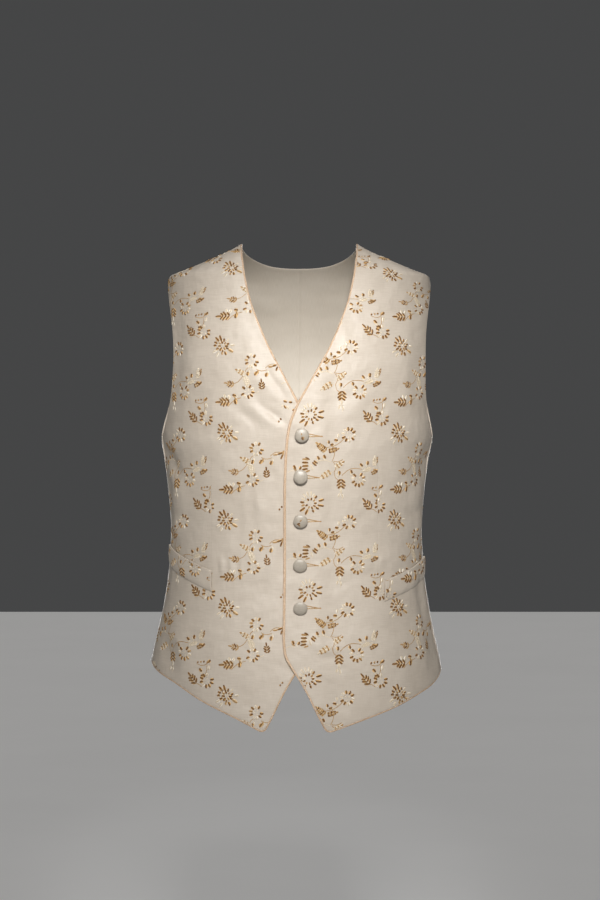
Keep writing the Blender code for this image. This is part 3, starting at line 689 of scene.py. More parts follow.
def between(table, row, column=None):
    """Values of the table between its rows, and between its columns too if a column is given."""
    row = np.clip(row, 0, len(table) - 1.001)
    i = np.floor(row).astype(int)
    share = (row - i)[..., None] if np.ndim(row) else row - i
    if column is None:
        return table[i] * (1 - share) + table[i + 1] * share
    column = np.clip(column, 0, table.shape[1] - 1.001)
    j = np.floor(column).astype(int)
    aside = (column - j)[..., None]
    lower = table[i, j] * (1 - aside) + table[i, j + 1] * aside
    upper = table[i + 1, j] * (1 - aside) + table[i + 1, j + 1] * aside
    return lower * (1 - share) + upper * share


def form_row(height):
    return (height - FORM_HEIGHTS[0]) / FORM_STEP


def ring_at(height, face):
    """x, y and lean of one ring, at each of the form's lengths along."""
    return between(FORM[face], form_row(height))


def along_at_x(height, from_centre, face="front"):
    x = ring_at(height, face)[:, 0]
    rising = slice(0, int(np.argmax(x)) + 1)
    return float(np.interp(from_centre, x[rising], FORM_ALONGS[rising]))


def along_at_depth(height, depth, face):
    """Where a ring is this far in front of the middle, on a front, or behind it, on a back."""
    y = ring_at(height, face)[:, 1]
    facing = y if face == "back" else -y
    start = int(np.argmax(facing))
    return float(np.interp(-depth, -facing[start:], FORM_ALONGS[start:]))


def on_form(panel, along, height):
    column = (along - FORM_ALONGS[0]) / FORM_STEP
    x, y, lean = np.moveaxis(between(FORM[panel.face], form_row(height), column), -1, 0)
    return np.stack([panel.side * x + lean, y, height], axis=-1)


def outward_at(panel, along, height, reach=NORMAL_REACH):
    across = on_form(panel, along + reach, height) - on_form(panel, along - reach, height)
    up = on_form(panel, along, height + reach) - on_form(panel, along, height - reach)
    normal = np.cross(across, up) * panel.side * (1 if panel.face == "front" else -1)
    return normal / np.linalg.norm(normal, axis=-1, keepdims=True)


def fold_relief(panel, along, height):
    total = np.zeros(np.shape(along))
    for fold in FOLDS:
        if fold.panel != panel.name:
            continue
        run = (fold.to_along - fold.along, fold.to_height - fold.height)
        away = (along - fold.along, height - fold.height)
        share = np.clip((away[0] * run[0] + away[1] * run[1]) / (run[0] ** 2 + run[1] ** 2), 0, 1)
        aside = np.hypot(away[0] - share * run[0], away[1] - share * run[1]) / fold.half_width
        wave = np.sin(math.pi * (FOLD_START + (1 - 2 * FOLD_START) * share))
        total += fold.rise * np.exp(-aside * aside / 2) * wave
    return total


def lap_lift(panel, along):
    """How far the upper front stands off the form, so that the lower one fits under it."""
    if not panel.laps:
        return np.zeros(np.shape(along))
    share = np.clip((LAP_END - along) / (LAP_END - LAP_FULL), 0, 1)
    return (FRONT_WALL + LAP_AIR) * share * share * (3 - 2 * share)


def on_cloth(panel, along, height, lift=0.0):
    """Points on the panel's outer side, or this far above it."""
    along, height = np.asarray(along, float), np.asarray(height, float)
    out = fold_relief(panel, along, height) + lap_lift(panel, along) + lift
    return on_form(panel, along, height) + outward_at(panel, along, height) * out[..., None]


# Length of cloth up and down, as the pattern has it, against height
MERIDIAN_POINTS = on_form(PANELS[0], np.full(len(FORM_HEIGHTS), MERIDIAN), FORM_HEIGHTS)
CLOTH_LENGTHS = np.concatenate([[0.0], np.cumsum(np.linalg.norm(np.diff(MERIDIAN_POINTS, axis=0), axis=1))])


def cloth_length(height):
    return np.interp(height, FORM_HEIGHTS, CLOTH_LENGTHS)


def height_at(length):
    return np.interp(length, CLOTH_LENGTHS, FORM_HEIGHTS)


# The cut of each panel


def spline(points, per_span=60):
    """A close line of places through the given ones, without corners."""
    points = np.asarray(points, float)
    knots = np.concatenate([[0.0], np.cumsum(np.linalg.norm(np.diff(points, axis=0), axis=1))])
    rates = np.diff(points, axis=0) / np.diff(knots)[:, None]
    spans = np.diff(knots)[:, None]
    middle = (rates[:-1] * spans[1:] + rates[1:] * spans[:-1]) / (spans[:-1] + spans[1:])
    slopes = np.concatenate([rates[:1], middle, rates[-1:]])
    line = [points[:1]]
    for i in range(len(points) - 1):
        share = np.linspace(0, 1, per_span + 1)[1:, None]
        rest = 1 - share
        line.append(
            points[i] * rest * rest * (1 + 2 * share)
            + points[i + 1] * share * share * (1 + 2 * rest)
            + (slopes[i] * rest - slopes[i + 1] * share) * spans[i] * share * rest
        )
    return np.concatenate(line)


def rounded(first, second, radius, steps=24):
    """Two lines that meet at a corner, joined by a curve that starts and ends this far from it."""
    corner = first[-1]
    first = first[np.linalg.norm(first - corner, axis=1) > radius]
    second = second[np.linalg.norm(second - corner, axis=1) > radius]
    start, end = first[-1], second[0]
    share = np.linspace(0, 1, steps + 1)[1:-1, None]
    curve = start * (1 - share) ** 2 + 2 * corner * share * (1 - share) + end * share**2
    return np.concatenate([first, curve, second])


def inset(line, steps):
    """The line moved sideways by these steps, to the left of its way."""
    way = np.gradient(line, axis=0)
    way /= np.linalg.norm(way, axis=1)[:, None]
    return line + np.stack([-way[:, 1], way[:, 0]], axis=1) * steps[:, None]


def divided(line, parts):
    """Places that divide a line into parts, closer together where it bends."""
    way = np.diff(line, axis=0)
    lengths = np.linalg.norm(way, axis=1)
    angles = np.unwrap(np.arctan2(way[:, 1], way[:, 0]))
    bends = np.concatenate([[0.0], np.abs(np.diff(angles))])
    measure = np.concatenate([[0.0], np.cumsum(lengths + BEND_WEIGHT * bends)])
    wanted = np.linspace(0, measure[-1], parts + 1)
    return np.stack([np.interp(wanted, measure, column) for column in line.T], axis=1)


def piping_radius(heights):
    return np.interp(heights, PIPING_HEIGHTS, PIPING_RADII)


def places_of(edges, face="front"):
    return [(along_at_x(edge.height, edge.from_centre, face), edge.height) for edge in edges]


def seam_place(panel, height):
    """Where the panel ends at the side seam or, above the armhole, at the shoulder seam."""
    depth = SIDE_SEAM_DEPTH if height <= UNDERARM else 0.0
    if panel.face == "back":
        depth = -depth
    return along_at_depth(height, depth + SEAM_GAP / 2, panel.face), height


def shoulder_line(panel, parts):
    """Places that divide the shoulder seam, closer together where it bends."""
    heights = np.linspace(NECK_POINT, SHOULDER_TIP, SHOULDER_SAMPLES)
    seam = np.array([(ring_at(height, "front")[:, 0].max(), height) for height in heights])
    return np.array([seam_place(panel, height) for height in divided(seam, parts)[:, 1]])


def front_outline(panel):
    """The piping's line on a front, from the neck point to the side seam, and the cloth's edge in it."""
    down = spline([seam_place(panel, NECK_POINT)] + places_of(NECK_AND_FRONT + [HEM_POINT]))
    hem = spline(places_of([HEM_POINT] + panel.hem) + [seam_place(panel, panel.side_hem)])
    line = rounded(down, hem, HEM_POINT_ROUND)
    return line, inset(line, piping_radius(line[:, 1]) - PIPING_SINK)


def armhole_line(panel):
    rows = [seam_place(panel, UNDERARM)]
    for row in ARMHOLES[panel.face]:
        rows.append((along_at_depth(row.height, row.depth, panel.face), row.height))
    return spline(rows + [seam_place(panel, SHOULDER_TIP)])


def side_edge(panel, hem_height):
    """The panel's outer edge, from the hem up the side seam and round the armhole."""
    heights = np.linspace(hem_height, UNDERARM, LOW_ROWS + 1)
    seam = np.array([seam_place(panel, height) for height in heights])
    return np.concatenate([seam, divided(armhole_line(panel), HIGH_ROWS)[1:]])


def filled(left, right, bottom, top):
    """Rows of places between four edges. The bottom and the top only shape the rows next to them."""
    across = np.linspace(0, 1, len(bottom))[:, None]
    bottom_bow = bottom - ((1 - across) * bottom[0] + across * bottom[-1])
    top_bow = top - ((1 - across) * top[0] + across * top[-1])
    grid = []
    for i, up in enumerate(np.linspace(0, 1, len(left))):
        straight = (1 - across) * left[i] + across * right[i]
        grid.append(straight + bottom_bow * (1 - up) ** EDGE_FADE + top_bow * up**EDGE_FADE)
    return np.array(grid)


def front_grid(panel):
    _, edge = front_outline(panel)
    chest, foot = int(np.argmax(edge[:, 1] < CHEST)), int(np.argmax(edge[:, 1] < FOOT))
    point = int(np.argmin(edge[:, 1]))
    high = divided(edge[: chest + 1], HIGH_ROWS)
    low = divided(edge[chest : foot + 1], LOW_ROWS)
    diagonal = divided(edge[foot : point + 1], DIAGONAL_COLUMNS)
    hem = divided(edge[point:], HEM_COLUMNS)
    left = np.concatenate([low[::-1], high[::-1][1:]])
    left[-1] = seam_place(panel, left[-1][1])
    bottom = np.concatenate([diagonal, hem[1:]])
    bottom[-1] = seam_place(panel, bottom[-1][1])
    top = shoulder_line(panel, DIAGONAL_COLUMNS + HEM_COLUMNS)
    top[0] = left[-1]
    return filled(left, side_edge(panel, bottom[-1][1]), bottom, top)


def back_grid(panel):
    middle = SEAM_GAP / 2
    hem_end = seam_place(panel, panel.side_hem)
    across = np.linspace(0, 1, NECK_COLUMNS + SHOULDER_COLUMNS + 1)
    bottom = np.stack([hem_end[0] * across, BACK_HEM + (panel.side_hem - BACK_HEM) * across**2], axis=1)
    bottom[0, 0] = middle
    neck = spline([(middle, NAPE)] + places_of(BACK_NECK, "back") + [seam_place(panel, NECK_POINT)])
    top = np.concatenate([divided(neck, NECK_COLUMNS), shoulder_line(panel, SHOULDER_COLUMNS)[1:]])
    left = np.array([(middle, height) for height in np.linspace(BACK_HEM, NAPE, LOW_ROWS + HIGH_ROWS + 1)])
    return filled(left, side_edge(panel, panel.side_hem), bottom, top)


def outline_of(grid):
    """The panel's edge, all round, from its rows of places."""
    return np.concatenate([grid[0], grid[1:, -1], grid[-1, -2::-1], grid[-2:0:-1, 0]])


def pattern_place(panel, along, height):
    """The same place on the cloth laid flat: across from the centre, to the viewer's right on a front."""
    return panel.side * along, cloth_length(height)


def inside(outline, places):
    """Whether each place lies inside the outline, by how often a line from it crosses the edge."""
    x, y = places[..., 0].ravel(), places[..., 1].ravel()
    crossings = np.zeros(len(x), int)
    for (x0, y0), (x1, y1) in zip(outline, np.roll(outline, -1, axis=0)):
        spans = (y0 > y) != (y1 > y)
        if y0 != y1:
            crossings += spans & (x < x0 + (y - y0) * (x1 - x0) / (y1 - y0))
    return (crossings % 2 == 1).reshape(places.shape[:-1])


# Materials


def shader_nodes(name, roughness, specular=0.5, sheen=0.0):
    """A new material, its node tree and its shader, with the values that are the same all over."""
    made = bpy.data.materials.new(name)
    made.use_nodes = True
    shader = made.node_tree.nodes["Principled BSDF"]
    shader.inputs["Roughness"].default_value = roughness
    shader.inputs["Specular IOR Level"].default_value = specular
    shader.inputs["Sheen Weight"].default_value = sheen
    shader.inputs["Sheen Roughness"].default_value = 0.45
    return made, made.node_tree, shader


def add_node(tree, kind, settings=(), **inputs):
    made = tree.nodes.new("ShaderNode" + kind)
    for name, value in dict(settings).items():
        setattr(made, name, value)
    for name, value in inputs.items():
        made.inputs[name.replace("_", " ")].default_value = value
    return made


def streaks(tree, coordinates, scale, detail=3.0, rough=0.6):
    """Noise drawn out by different scales along each axis."""
    mapping = add_node(tree, "Mapping", Scale=scale)
    noise = add_node(tree, "TexNoise", Scale=1.0, Detail=detail, Roughness=rough)
    tree.links.new(coordinates, mapping.inputs["Vector"])
    tree.links.new(mapping.outputs["Vector"], noise.inputs["Vector"])
    return noise.outputs["Fac"]


def threads_across(tree, coordinates, pitch, turn=0.0):
    """Fine parallel threads, this far apart."""
    mapping = add_node(tree, "Mapping", Rotation=(0.0, 0.0, turn))
    scale = WAVE_PITCH / pitch
    wave = add_node(tree, "TexWave", {"wave_profile": "SIN"}, Scale=scale, Distortion=0.6, Detail=1.0)
    tree.links.new(coordinates, mapping.inputs["Vector"])
    tree.links.new(mapping.outputs["Vector"], wave.inputs["Vector"])
    return wave.outputs["Fac"]


def maths(tree, operation, first, second):
    made = add_node(tree, "Math", {"operation": operation})
    for socket, value in zip(made.inputs, (first, second)):
        if isinstance(value, (int, float)):
            socket.default_value = value
        else:
            tree.links.new(value, socket)
    return made.outputs["Value"]


def weighed(tree, *parts):
    """The sum of some values, each times its weight."""
    total = None
    for value, weight in parts:
        part = maths(tree, "MULTIPLY", value, weight)
        total = part if total is None else maths(tree, "ADD", total, part)
    return total


def ranged(tree, value, low, high, to_low, to_high):
    made = add_node(tree, "MapRange", {"interpolation_type": "SMOOTHSTEP"})
    tree.links.new(value, made.inputs["Value"])
    for name, number in zip(("From Min", "From Max", "To Min", "To Max"), (low, high, to_low, to_high)):
        made.inputs[name].default_value = number
    return made.outputs["Result"]


def tinted(tree, shader, share, dark, light):
    """The colour runs from dark to light with share."""
    ramp = add_node(tree, "ValToRGB")
    ramp.color_ramp.elements[0].color = (*dark, 1.0)
    ramp.color_ramp.elements[0].position = 0.25
    ramp.color_ramp.elements[1].color = (*light, 1.0)
    ramp.color_ramp.elements[1].position = 0.75
    tree.links.new(share, ramp.inputs["Fac"])
    tree.links.new(ramp.outputs["Color"], shader.inputs["Base Color"])
    return ramp


def bumped(tree, shader, height, distance, strength=1.0, before=None):
    bump = add_node(tree, "Bump", Strength=strength, Distance=distance)
    tree.links.new(height, bump.inputs["Height"])
    if before is not None:
        tree.links.new(before.outputs["Normal"], bump.inputs["Normal"])
    tree.links.new(bump.outputs["Normal"], shader.inputs["Normal"])
    return bump


def cloth_coordinates(tree):
    return add_node(tree, "TexCoord").outputs["UV"]


def dart_seam(tree, coordinates, dart, side):
    """1 away from the dart's seam, falling to 0 in a fine groove along it. It bumps the groove and paints
    shade in it.
    """
    split = add_node(tree, "SeparateXYZ")
    tree.links.new(coordinates, split.inputs["Vector"])
    offset = maths(tree, "ABSOLUTE", maths(tree, "SUBTRACT", split.outputs["X"], side * dart.along), 0.0)
    groove = ranged(tree, offset, 0.0002, 0.0014, 1.0, 0.0)
    top, foot = cloth_length(dart.top), cloth_length(dart.foot)
    below_top = ranged(tree, split.outputs["Y"], top - 0.02, top, 1.0, 0.0)
    above_foot = ranged(tree, split.outputs["Y"], foot - 0.002, foot, 0.0, 1.0)
    depth = maths(tree, "MULTIPLY", groove, maths(tree, "MULTIPLY", below_top, above_foot))
    return maths(tree, "SUBTRACT", 1.0, depth)


def slubbed_silk(name, dart=None, side=1):
    """Ivory dupion: crisp silk with uneven slubs along the weft and a finer warp."""
    made, tree, shader = shader_nodes(name, roughness=0.5, specular=0.6)
    cloth = cloth_coordinates(tree)
    slubs = streaks(tree, cloth, (55.0, 1150.0, 1.0))
    warp = streaks(tree, cloth, (1700.0, 75.0, 1.0), detail=2.0)
    clouds = streaks(tree, cloth, (16.0, 22.0, 1.0), detail=2.0)
    rumples = streaks(tree, cloth, (75.0, 48.0, 1.0), detail=1.0)
    weave = weighed(tree, (slubs, 0.62), (warp, 0.38))
    shade = weighed(tree, (weave, 0.72), (clouds, 0.28))
    groove = None
    if dart is not None:
        seam = dart_seam(tree, cloth, dart, side)
        # Painted shade: the silk's colour is a little darker in the dart's seam groove
        shade = maths(tree, "MULTIPLY", shade, ranged(tree, seam, 0.0, 1.0, 0.95, 1.0))
        groove = bumped(tree, shader, seam, distance=0.00012)
    tinted(tree, shader, shade, *SILK_COLOURS)
    pucker = bumped(tree, shader, clouds, distance=0.0040, before=groove)
    rumpled = bumped(tree, shader, rumples, distance=0.0011, before=pucker)
    bumped(tree, shader, weave, distance=0.00024, strength=0.9, before=rumpled)
    gloss = ranged(tree, weave, 0.3, 0.7, 0.6, 0.46)
    tree.links.new(gloss, shader.inputs["Roughness"])
    return made


def plain_satin(name, colours, roughness=0.36):
    """Smooth satin, whose warp floats run up the cloth."""
    made, tree, shader = shader_nodes(name, roughness=roughness, specular=0.5, sheen=0.15)
    cloth = cloth_coordinates(tree)
    floats = streaks(tree, cloth, (2100.0, 90.0, 1.0), detail=2.0)
    clouds = streaks(tree, cloth, (14.0, 20.0, 1.0), detail=2.0)
    tinted(tree, shader, weighed(tree, (floats, 0.6), (clouds, 0.4)), *colours)
    pucker = bumped(tree, shader, clouds, distance=0.0014)
    bumped(tree, shader, floats, distance=0.00012, strength=0.8, before=pucker)
    return made


def piping_satin():
    """Peach-gold satin cut on the cross, so its threads run slantwise round the cord."""
    made, tree, shader = shader_nodes("piping_satin", roughness=0.36, specular=0.5, sheen=0.15)
    cloth = cloth_coordinates(tree)
    threads = threads_across(tree, cloth, PIPING_THREAD_PITCH, math.radians(45))
    uneven = streaks(tree, cloth, (160.0, 420.0, 1.0), detail=2.0)
    tinted(tree, shader, weighed(tree, (threads, 0.35), (uneven, 0.65)), *PIPING_COLOURS)
    gathers = bumped(tree, shader, uneven, distance=0.0006)
    bumped(tree, shader, threads, distance=0.00010, before=gathers)
    return made


def embroidery_thread(name, colours):
    """Glossy thread laid side by side, slantwise over each petal. Its colour runs from dark in the middle to
    a painted highlight at its rim, wider on one side.
    """
    made, tree, shader = shader_nodes(name, roughness=0.34, specular=0.35)
    cloth = cloth_coordinates(tree)
    laid = threads_across(tree, cloth, EMBROIDERY_THREAD_PITCH, math.radians(24))
    uneven = streaks(tree, add_node(tree, "TexCoord").outputs["Object"], (260.0, 260.0, 260.0), detail=1.0)
    split = add_node(tree, "SeparateXYZ")
    tree.links.new(cloth, split.inputs["Vector"])
    # Painted highlight: the colour turns pale towards the stitch's rim, and sooner on one side
    aside = maths(tree, "ABSOLUTE", maths(tree, "ADD", split.outputs["Y"], PAINTED_HIGHLIGHT_SHIFT), 0.0)
    rim = ranged(tree, aside, *PAINTED_HIGHLIGHT_SPAN, 0.0, 1.0)
    tinted(tree, shader, weighed(tree, (laid, 0.25), (uneven, 0.35), (rim, 0.5)), *colours)
    bumped(tree, shader, laid, distance=0.00012)
    return made


def button_silk():
    """The same ivory silk, stretched over the button."""
    made, tree, shader = shader_nodes("button_silk", roughness=0.4, specular=0.9)
    place = add_node(tree, "TexCoord").outputs["Object"]
    slubs = streaks(tree, place, (160.0, 160.0, 1500.0))
    warp = streaks(tree, place, (1900.0, 300.0, 160.0), detail=2.0)
    weave = weighed(tree, (slubs, 0.6), (warp, 0.4))
    tinted(tree, shader, weave, *BUTTON_COLOURS)
    bumped(tree, shader, weave, distance=0.0003)
    return made


def floor_paint():
    made, tree, shader = shader_nodes("floor_paint", roughness=0.75, specular=0.2)
    place = add_node(tree, "TexCoord").outputs["Object"]
    tinted(tree, shader, streaks(tree, place, (1.2, 1.2, 1.0)), *FLOOR_COLOURS)
    return made


FRONT_SILK = {
    panel.name: slubbed_silk("silk_" + panel.name, DARTS[panel.name], panel.side) for panel in FRONTS
}
WELT_SILK = slubbed_silk("silk_welts")
BACK_SATIN = plain_satin("back_satin", BACK_COLOURS)
LINING_SATIN = plain_satin("lining_satin", LINING_COLOURS, roughness=0.4)
PIPING_SATIN = piping_satin()
THREAD_MATERIALS = [embroidery_thread("thread_" + name, colours) for name, colours in THREAD_COLOURS.items()]
BUTTON_SILK = button_silk()


# Making pieces


def finished(name, bm, materials, replaced=()):
    """The object for a mesh, riding on the garment, with its finish."""
    mesh = bpy.data.meshes.new(name)
    bm.to_mesh(mesh)
    bm.free()
    mesh.shade_smooth()
    for material in materials:
        mesh.materials.append(material)
    made = bpy.data.objects.new(name, mesh)
    bpy.context.scene.collection.objects.link(made)
    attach(made, "root")
    if replaced:
        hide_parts(*replaced)
    return made


def grid_mesh(points, flat_places, turned=False):
    """A grid whose corners go to these points, with a UV map of their places on the flat cloth."""
    rows, columns = points.shape[:2]
    bm = bmesh.new()
    bmesh.ops.create_grid(bm, x_segments=columns - 1, y_segments=rows - 1, size=0.5)
    layer = bm.loops.layers.uv.new("Cloth")
    index = {}
    for vert in bm.verts:
        at = (round((vert.co.y + 0.5) * (rows - 1)), round((vert.co.x + 0.5) * (columns - 1)))
        index[vert] = at
        vert.co = points[at]
    for face in bm.faces:
        for loop in face.loops:
            loop[layer].uv = flat_places[index[loop.vert]]
    if turned:
        bmesh.ops.reverse_faces(bm, faces=bm.faces)
    return bm


def thickened(made, wall):
    """Gives the cloth its thickness, inwards, and rounds its cut edges."""
    solid = made.modifiers.new("Wall", "SOLIDIFY")
    solid.thickness = wall
    solid.offset = -1.0
    solid.material_offset = 1
    solid.material_offset_rim = 0
    soft = made.modifiers.new("Edges", "BEVEL")
    soft.width = EDGE_ROUNDING
    soft.segments = 2
    soft.limit_method = "ANGLE"
    soft.angle_limit = math.radians(55)
    soft.harden_normals = False


def cloth_panel(panel, grid, outer):
    points = on_cloth(panel, grid[..., 0], grid[..., 1])
    flat = np.stack(pattern_place(panel, grid[..., 0], grid[..., 1]), axis=-1)
    turned = (panel.side > 0) != (panel.face == "front")
    bm = grid_mesh(points, flat, turned)
    made = finished("cloth_" + panel.name, bm, [outer, LINING_SATIN], [panel.name])
    thickened(made, panel.wall)
    return made


def piping(panel):
    """The covered cord along the neck, the front edge and the hem."""
    line = divided(front_outline(panel)[0], PIPING_STATIONS)
    centres = on_cloth(panel, line[:, 0], line[:, 1], -panel.wall / 2)
    way = np.gradient(centres, axis=0)
    way /= np.linalg.norm(way, axis=1)[:, None]
    out = outward_at(panel, line[:, 0], line[:, 1])
    aside = np.cross(way, out)
    aside /= np.linalg.norm(aside, axis=1)[:, None]
    out = PIPING_FLATTENING * np.cross(aside, way)
    turn = np.linspace(0, 2 * math.pi, PIPING_SIDES + 1)
    radius = piping_radius(line[:, 1])[:, None, None]
    ring = aside[:, None] * np.cos(turn)[:, None] + out[:, None] * np.sin(turn)[:, None]
    points = centres[:, None] + radius * ring
    run = np.concatenate([[0.0], np.cumsum(np.linalg.norm(np.diff(centres, axis=0), axis=1))])
    flat = np.stack(np.broadcast_arrays(run[:, None], turn[None, :] * max(PIPING_RADII)), axis=-1)
    bm = grid_mesh(points, flat)
    bmesh.ops.remove_doubles(bm, verts=bm.verts, dist=MERGE_DISTANCE)
    bmesh.ops.holes_fill(bm, edges=[edge for edge in bm.edges if edge.is_boundary])
    bmesh.ops.recalc_face_normals(bm, faces=bm.faces)
    node = "piping_" + panel.name[6:]
    return finished("cord_" + node, bm, [PIPING_SATIN], [node])


def welt_place(panel, across, up):
    """Place on the front under a point of the welt, and how far the welt's face stands above it."""
    corner = WELTS[panel.name]
    along = corner.along + WELT_LENGTH * across
    height = corner.height + corner.rise * WELT_LENGTH * across - WELT_HEIGHT * (1 - up)
    fullness = WELT_FULLNESS * np.sin(math.pi * np.clip(up, 0, 1))
    share = np.clip(up / WELT_SEAM_SHARE, 0, 1)
    thickness = WELT_SEAM_RISE + (WELT_AIR + WELT_WALL - WELT_SEAM_RISE) * share * (2 - share)
    gape = WELT_GAPE * up * up * (WELT_GAPE_INNER + (1 - WELT_GAPE_INNER) * across)
    return along, height, thickness + fullness + gape


def welt_shares(panel, along, height):
    """How far across and up the welt a place on the front lies."""
    corner = WELTS[panel.name]
    across = (along - corner.along) / WELT_LENGTH
    up = 1 + (height - corner.height - corner.rise * WELT_LENGTH * across) / WELT_HEIGHT
    return across, up


def welt(panel):
    columns, rows = WELT_DIVISIONS
    across, up = np.meshgrid(np.linspace(0, 1, columns + 1), np.linspace(0, 1, rows + 1))
    along, height, lift = welt_place(panel, across, up)
    points = on_cloth(panel, along, height, lift)
    flat = np.stack(pattern_place(panel, along, height), axis=-1)
    node = "welt_" + panel.name[6:]
    turned = panel.side < 0
    bm = grid_mesh(points, flat, turned)
    made = finished("cloth_" + node, bm, [WELT_SILK, LINING_SATIN], [node])
    thickened(made, WELT_AIR + WELT_WALL)
    return made


# Embroidery


def towards(x, y, turn, distance):
    return x + distance * math.cos(math.radians(turn)), y + distance * math.sin(math.radians(turn))


def petals_round(motif, petals):
    stitches = []
    for petal in petals:
        turn = motif.turn + petal.turn
        base = towards(motif.x, motif.y, turn, petal.radius * motif.size)
        length, width = petal.length * motif.size, petal.width * motif.size
        stitches.append(Stitch(*base, turn, length, width, petal.thread))
    return stitches


def flower(motif):
    return petals_round(motif, FLOWERS[motif.kind] + FLOWER_FILLING)


def wreath(motif):
    length, width = WREATH_PETAL
    petals = list(WREATH_MIDDLE)
    for i, thread in enumerate(motif.threads):
        if thread in THREADS:
            petals.append(Petal(-360 / WREATH_PLACES * i, WREATH_RADIUS, length, width, thread))
    return petals_round(motif, petals)


def leaflets(motif, kind):
    """Leaflets in pairs up a stem, shorter towards both ends, with one at the tip."""
    stitches = []
    size = motif.size
    for i in range(kind.pairs):
        base = towards(motif.x, motif.y, motif.turn, (LEAFLET_START + kind.gap * i) * size)
        from_fullest = 2 * i / (kind.pairs - 1) - LEAFLET_FULLEST
        reach = kind.length * size * (1 - LEAFLET_SHORTENING * from_fullest**2)
        thread = motif.threads[i % len(motif.threads)]
        for side in (-1, 1):
            stitches.append(Stitch(*base, motif.turn + side * kind.lean, reach, kind.width * size, thread))
    to_tip = (LEAFLET_START + kind.gap * (kind.pairs - LEAFLET_TIP)) * size
    tip = towards(motif.x, motif.y, motif.turn, to_tip)
    stitches.append(Stitch(*tip, motif.turn, kind.length * size, kind.width * size, motif.threads[-1]))
    width = STEM_STITCH[1]
    for i in range(kind.pairs):
        base = towards(motif.x, motif.y, motif.turn, kind.gap * i * size)
        stitches.append(Stitch(*base, motif.turn, kind.gap * size / STEM_OVERLAP, width, "c"))
    return stitches


def fern(motif):
    return leaflets(motif, FERN)


def leaf(motif):
    return leaflets(motif, LEAF)


def sized(shape, motif, x, y, turn, thread):
    """A stitch of this length and width, times the motif's size."""
    length, width = shape
    return Stitch(x, y, turn, length * motif.size, width * motif.size, thread)


def bud(motif):
    """A fat petal that comes out of a paler, thinner one."""
    tip = towards(motif.x, motif.y, motif.turn, BUD_TIP_START * motif.size)
    return [
        sized(BUD_FOOT, motif, motif.x, motif.y, motif.turn + BUD_FOOT_LEAN, motif.threads[1]),
        sized(BUD_TIP, motif, *tip, motif.turn + BUD_TIP_LEAN, motif.threads[0]),
    ]


def petal(motif):
    return [sized(LONE_PETAL, motif, motif.x, motif.y, motif.turn, motif.threads[0])]


def dots(motif):
    stitches = []
    for i, thread in enumerate(motif.threads):
        base = towards(motif.x, motif.y, motif.turn, DOT_GAP * i * motif.size)
        stitches.append(Stitch(*base, motif.turn + DOT_LEAN, *DOT, thread))
    return stitches


def stem(line):
    """Short stitches, each starting a little before the last one ends."""
    start, end = np.array([line.x, line.y]), np.array([line.to_x, line.to_y])
    run = end - start
    distance = np.linalg.norm(run)
    aside = np.array([-run[1], run[0]]) / distance * line.bow
    length, width = STEM_STITCH
    count = max(1, round(distance / (length * STEM_OVERLAP)))
    stitches = []
    for i in range(count):
        here, there = i / count, (i + 1) / count
        first = start + run * here + aside * math.sin(math.pi * here)
        then = start + run * there + aside * math.sin(math.pi * there)
        turn = math.degrees(math.atan2(then[1] - first[1], then[0] - first[0]))
        stitches.append(Stitch(*first, turn, length, width, line.thread))
    return stitches


MOTIF_MAKERS = {
    "full": flower,
    "open": flower,
    "wreath": wreath,
    "fern": fern,
    "leaf": leaf,
    "bud": bud,
    "petal": petal,
    "dots": dots,
}


def in_metres(stitches, reach=1.0, fatness=1.0):
    found = []
    for s in stitches:
        x, y = s.x * MILLIMETRE, s.y * MILLIMETRE
        length, width = s.length * MILLIMETRE * reach, s.width * MILLIMETRE * fatness
        found.append(s._replace(x=x, y=y, length=length, width=width))
    return found


def sprig():
    """All the stitches of one repeat, in metres."""
    stitches = [stitch for line in STEMS for stitch in stem(line)] + SPRAY
    for motif in SPRIG:
        stitches += MOTIF_MAKERS[motif.kind](motif)
    return in_metres(stitches, STITCH_REACH, STITCH_FATNESS)


def scraps(panel):
    """The panel's own stitches, placed from the full flower next to the foot of the neck."""
    x, y = SPRIG_START[0] - SPRIG_WIDTH, float(cloth_length(SPRIG_START[1])) + SPRIG_HEIGHT
    stitches = in_metres(SCRAPS[panel.name], STITCH_REACH, STITCH_FATNESS)
    return [s._replace(x=x + s.x, y=y + s.y) for s in stitches]


def repeated(stitches, low, high, shift=(0.0, 0.0)):
    """The sprig's stitches, again and again over a box of flat cloth."""
    start = (SPRIG_START[0] + shift[0], float(cloth_length(SPRIG_START[1])) + shift[1])
    columns, rows = (
        range(math.floor((low[i] - start[i]) / size), math.ceil((high[i] - start[i]) / size) + 1)
        for i, size in enumerate((SPRIG_WIDTH, SPRIG_HEIGHT))
    )
    found = []
    for column in columns:
        for row in rows:
            x, y = start[0] + column * SPRIG_WIDTH, start[1] + row * SPRIG_HEIGHT
            for s in stitches:
                if low[0] < x + s.x < high[0] and low[1] < y + s.y < high[1]:
                    found.append(s._replace(x=x + s.x, y=y + s.y))
    return found


def stitch_shapes(stitches):
    """Each stitch as a low mound: its places on the flat cloth, its rise, and its own UV places."""
    s = np.array(STITCH_ALONG)[None, :, None]
    t = np.array(STITCH_ACROSS)[None, None, :]
    x, y, turn, length, width = (
        np.array([getattr(stitch, name) for stitch in stitches])[:, None, None]
        for name in ("x", "y", "turn", "length", "width")
    )
    fullness = STITCH_BLUNTNESS + (1 - STITCH_BLUNTNESS) * np.sin(math.pi * s**0.9) ** 0.5
    along, across = length * s + 0 * t, width / 2 * fullness * t
    cosine, sine = np.cos(np.radians(turn)), np.sin(np.radians(turn))
    flat = np.stack([x + along * cosine - across * sine, y + along * sine + across * cosine], axis=-1)
    rise = STITCH_RISE * width * fullness * (1 - t * t) - STITCH_SINK
    return flat, rise, np.stack([along, across], axis=-1)


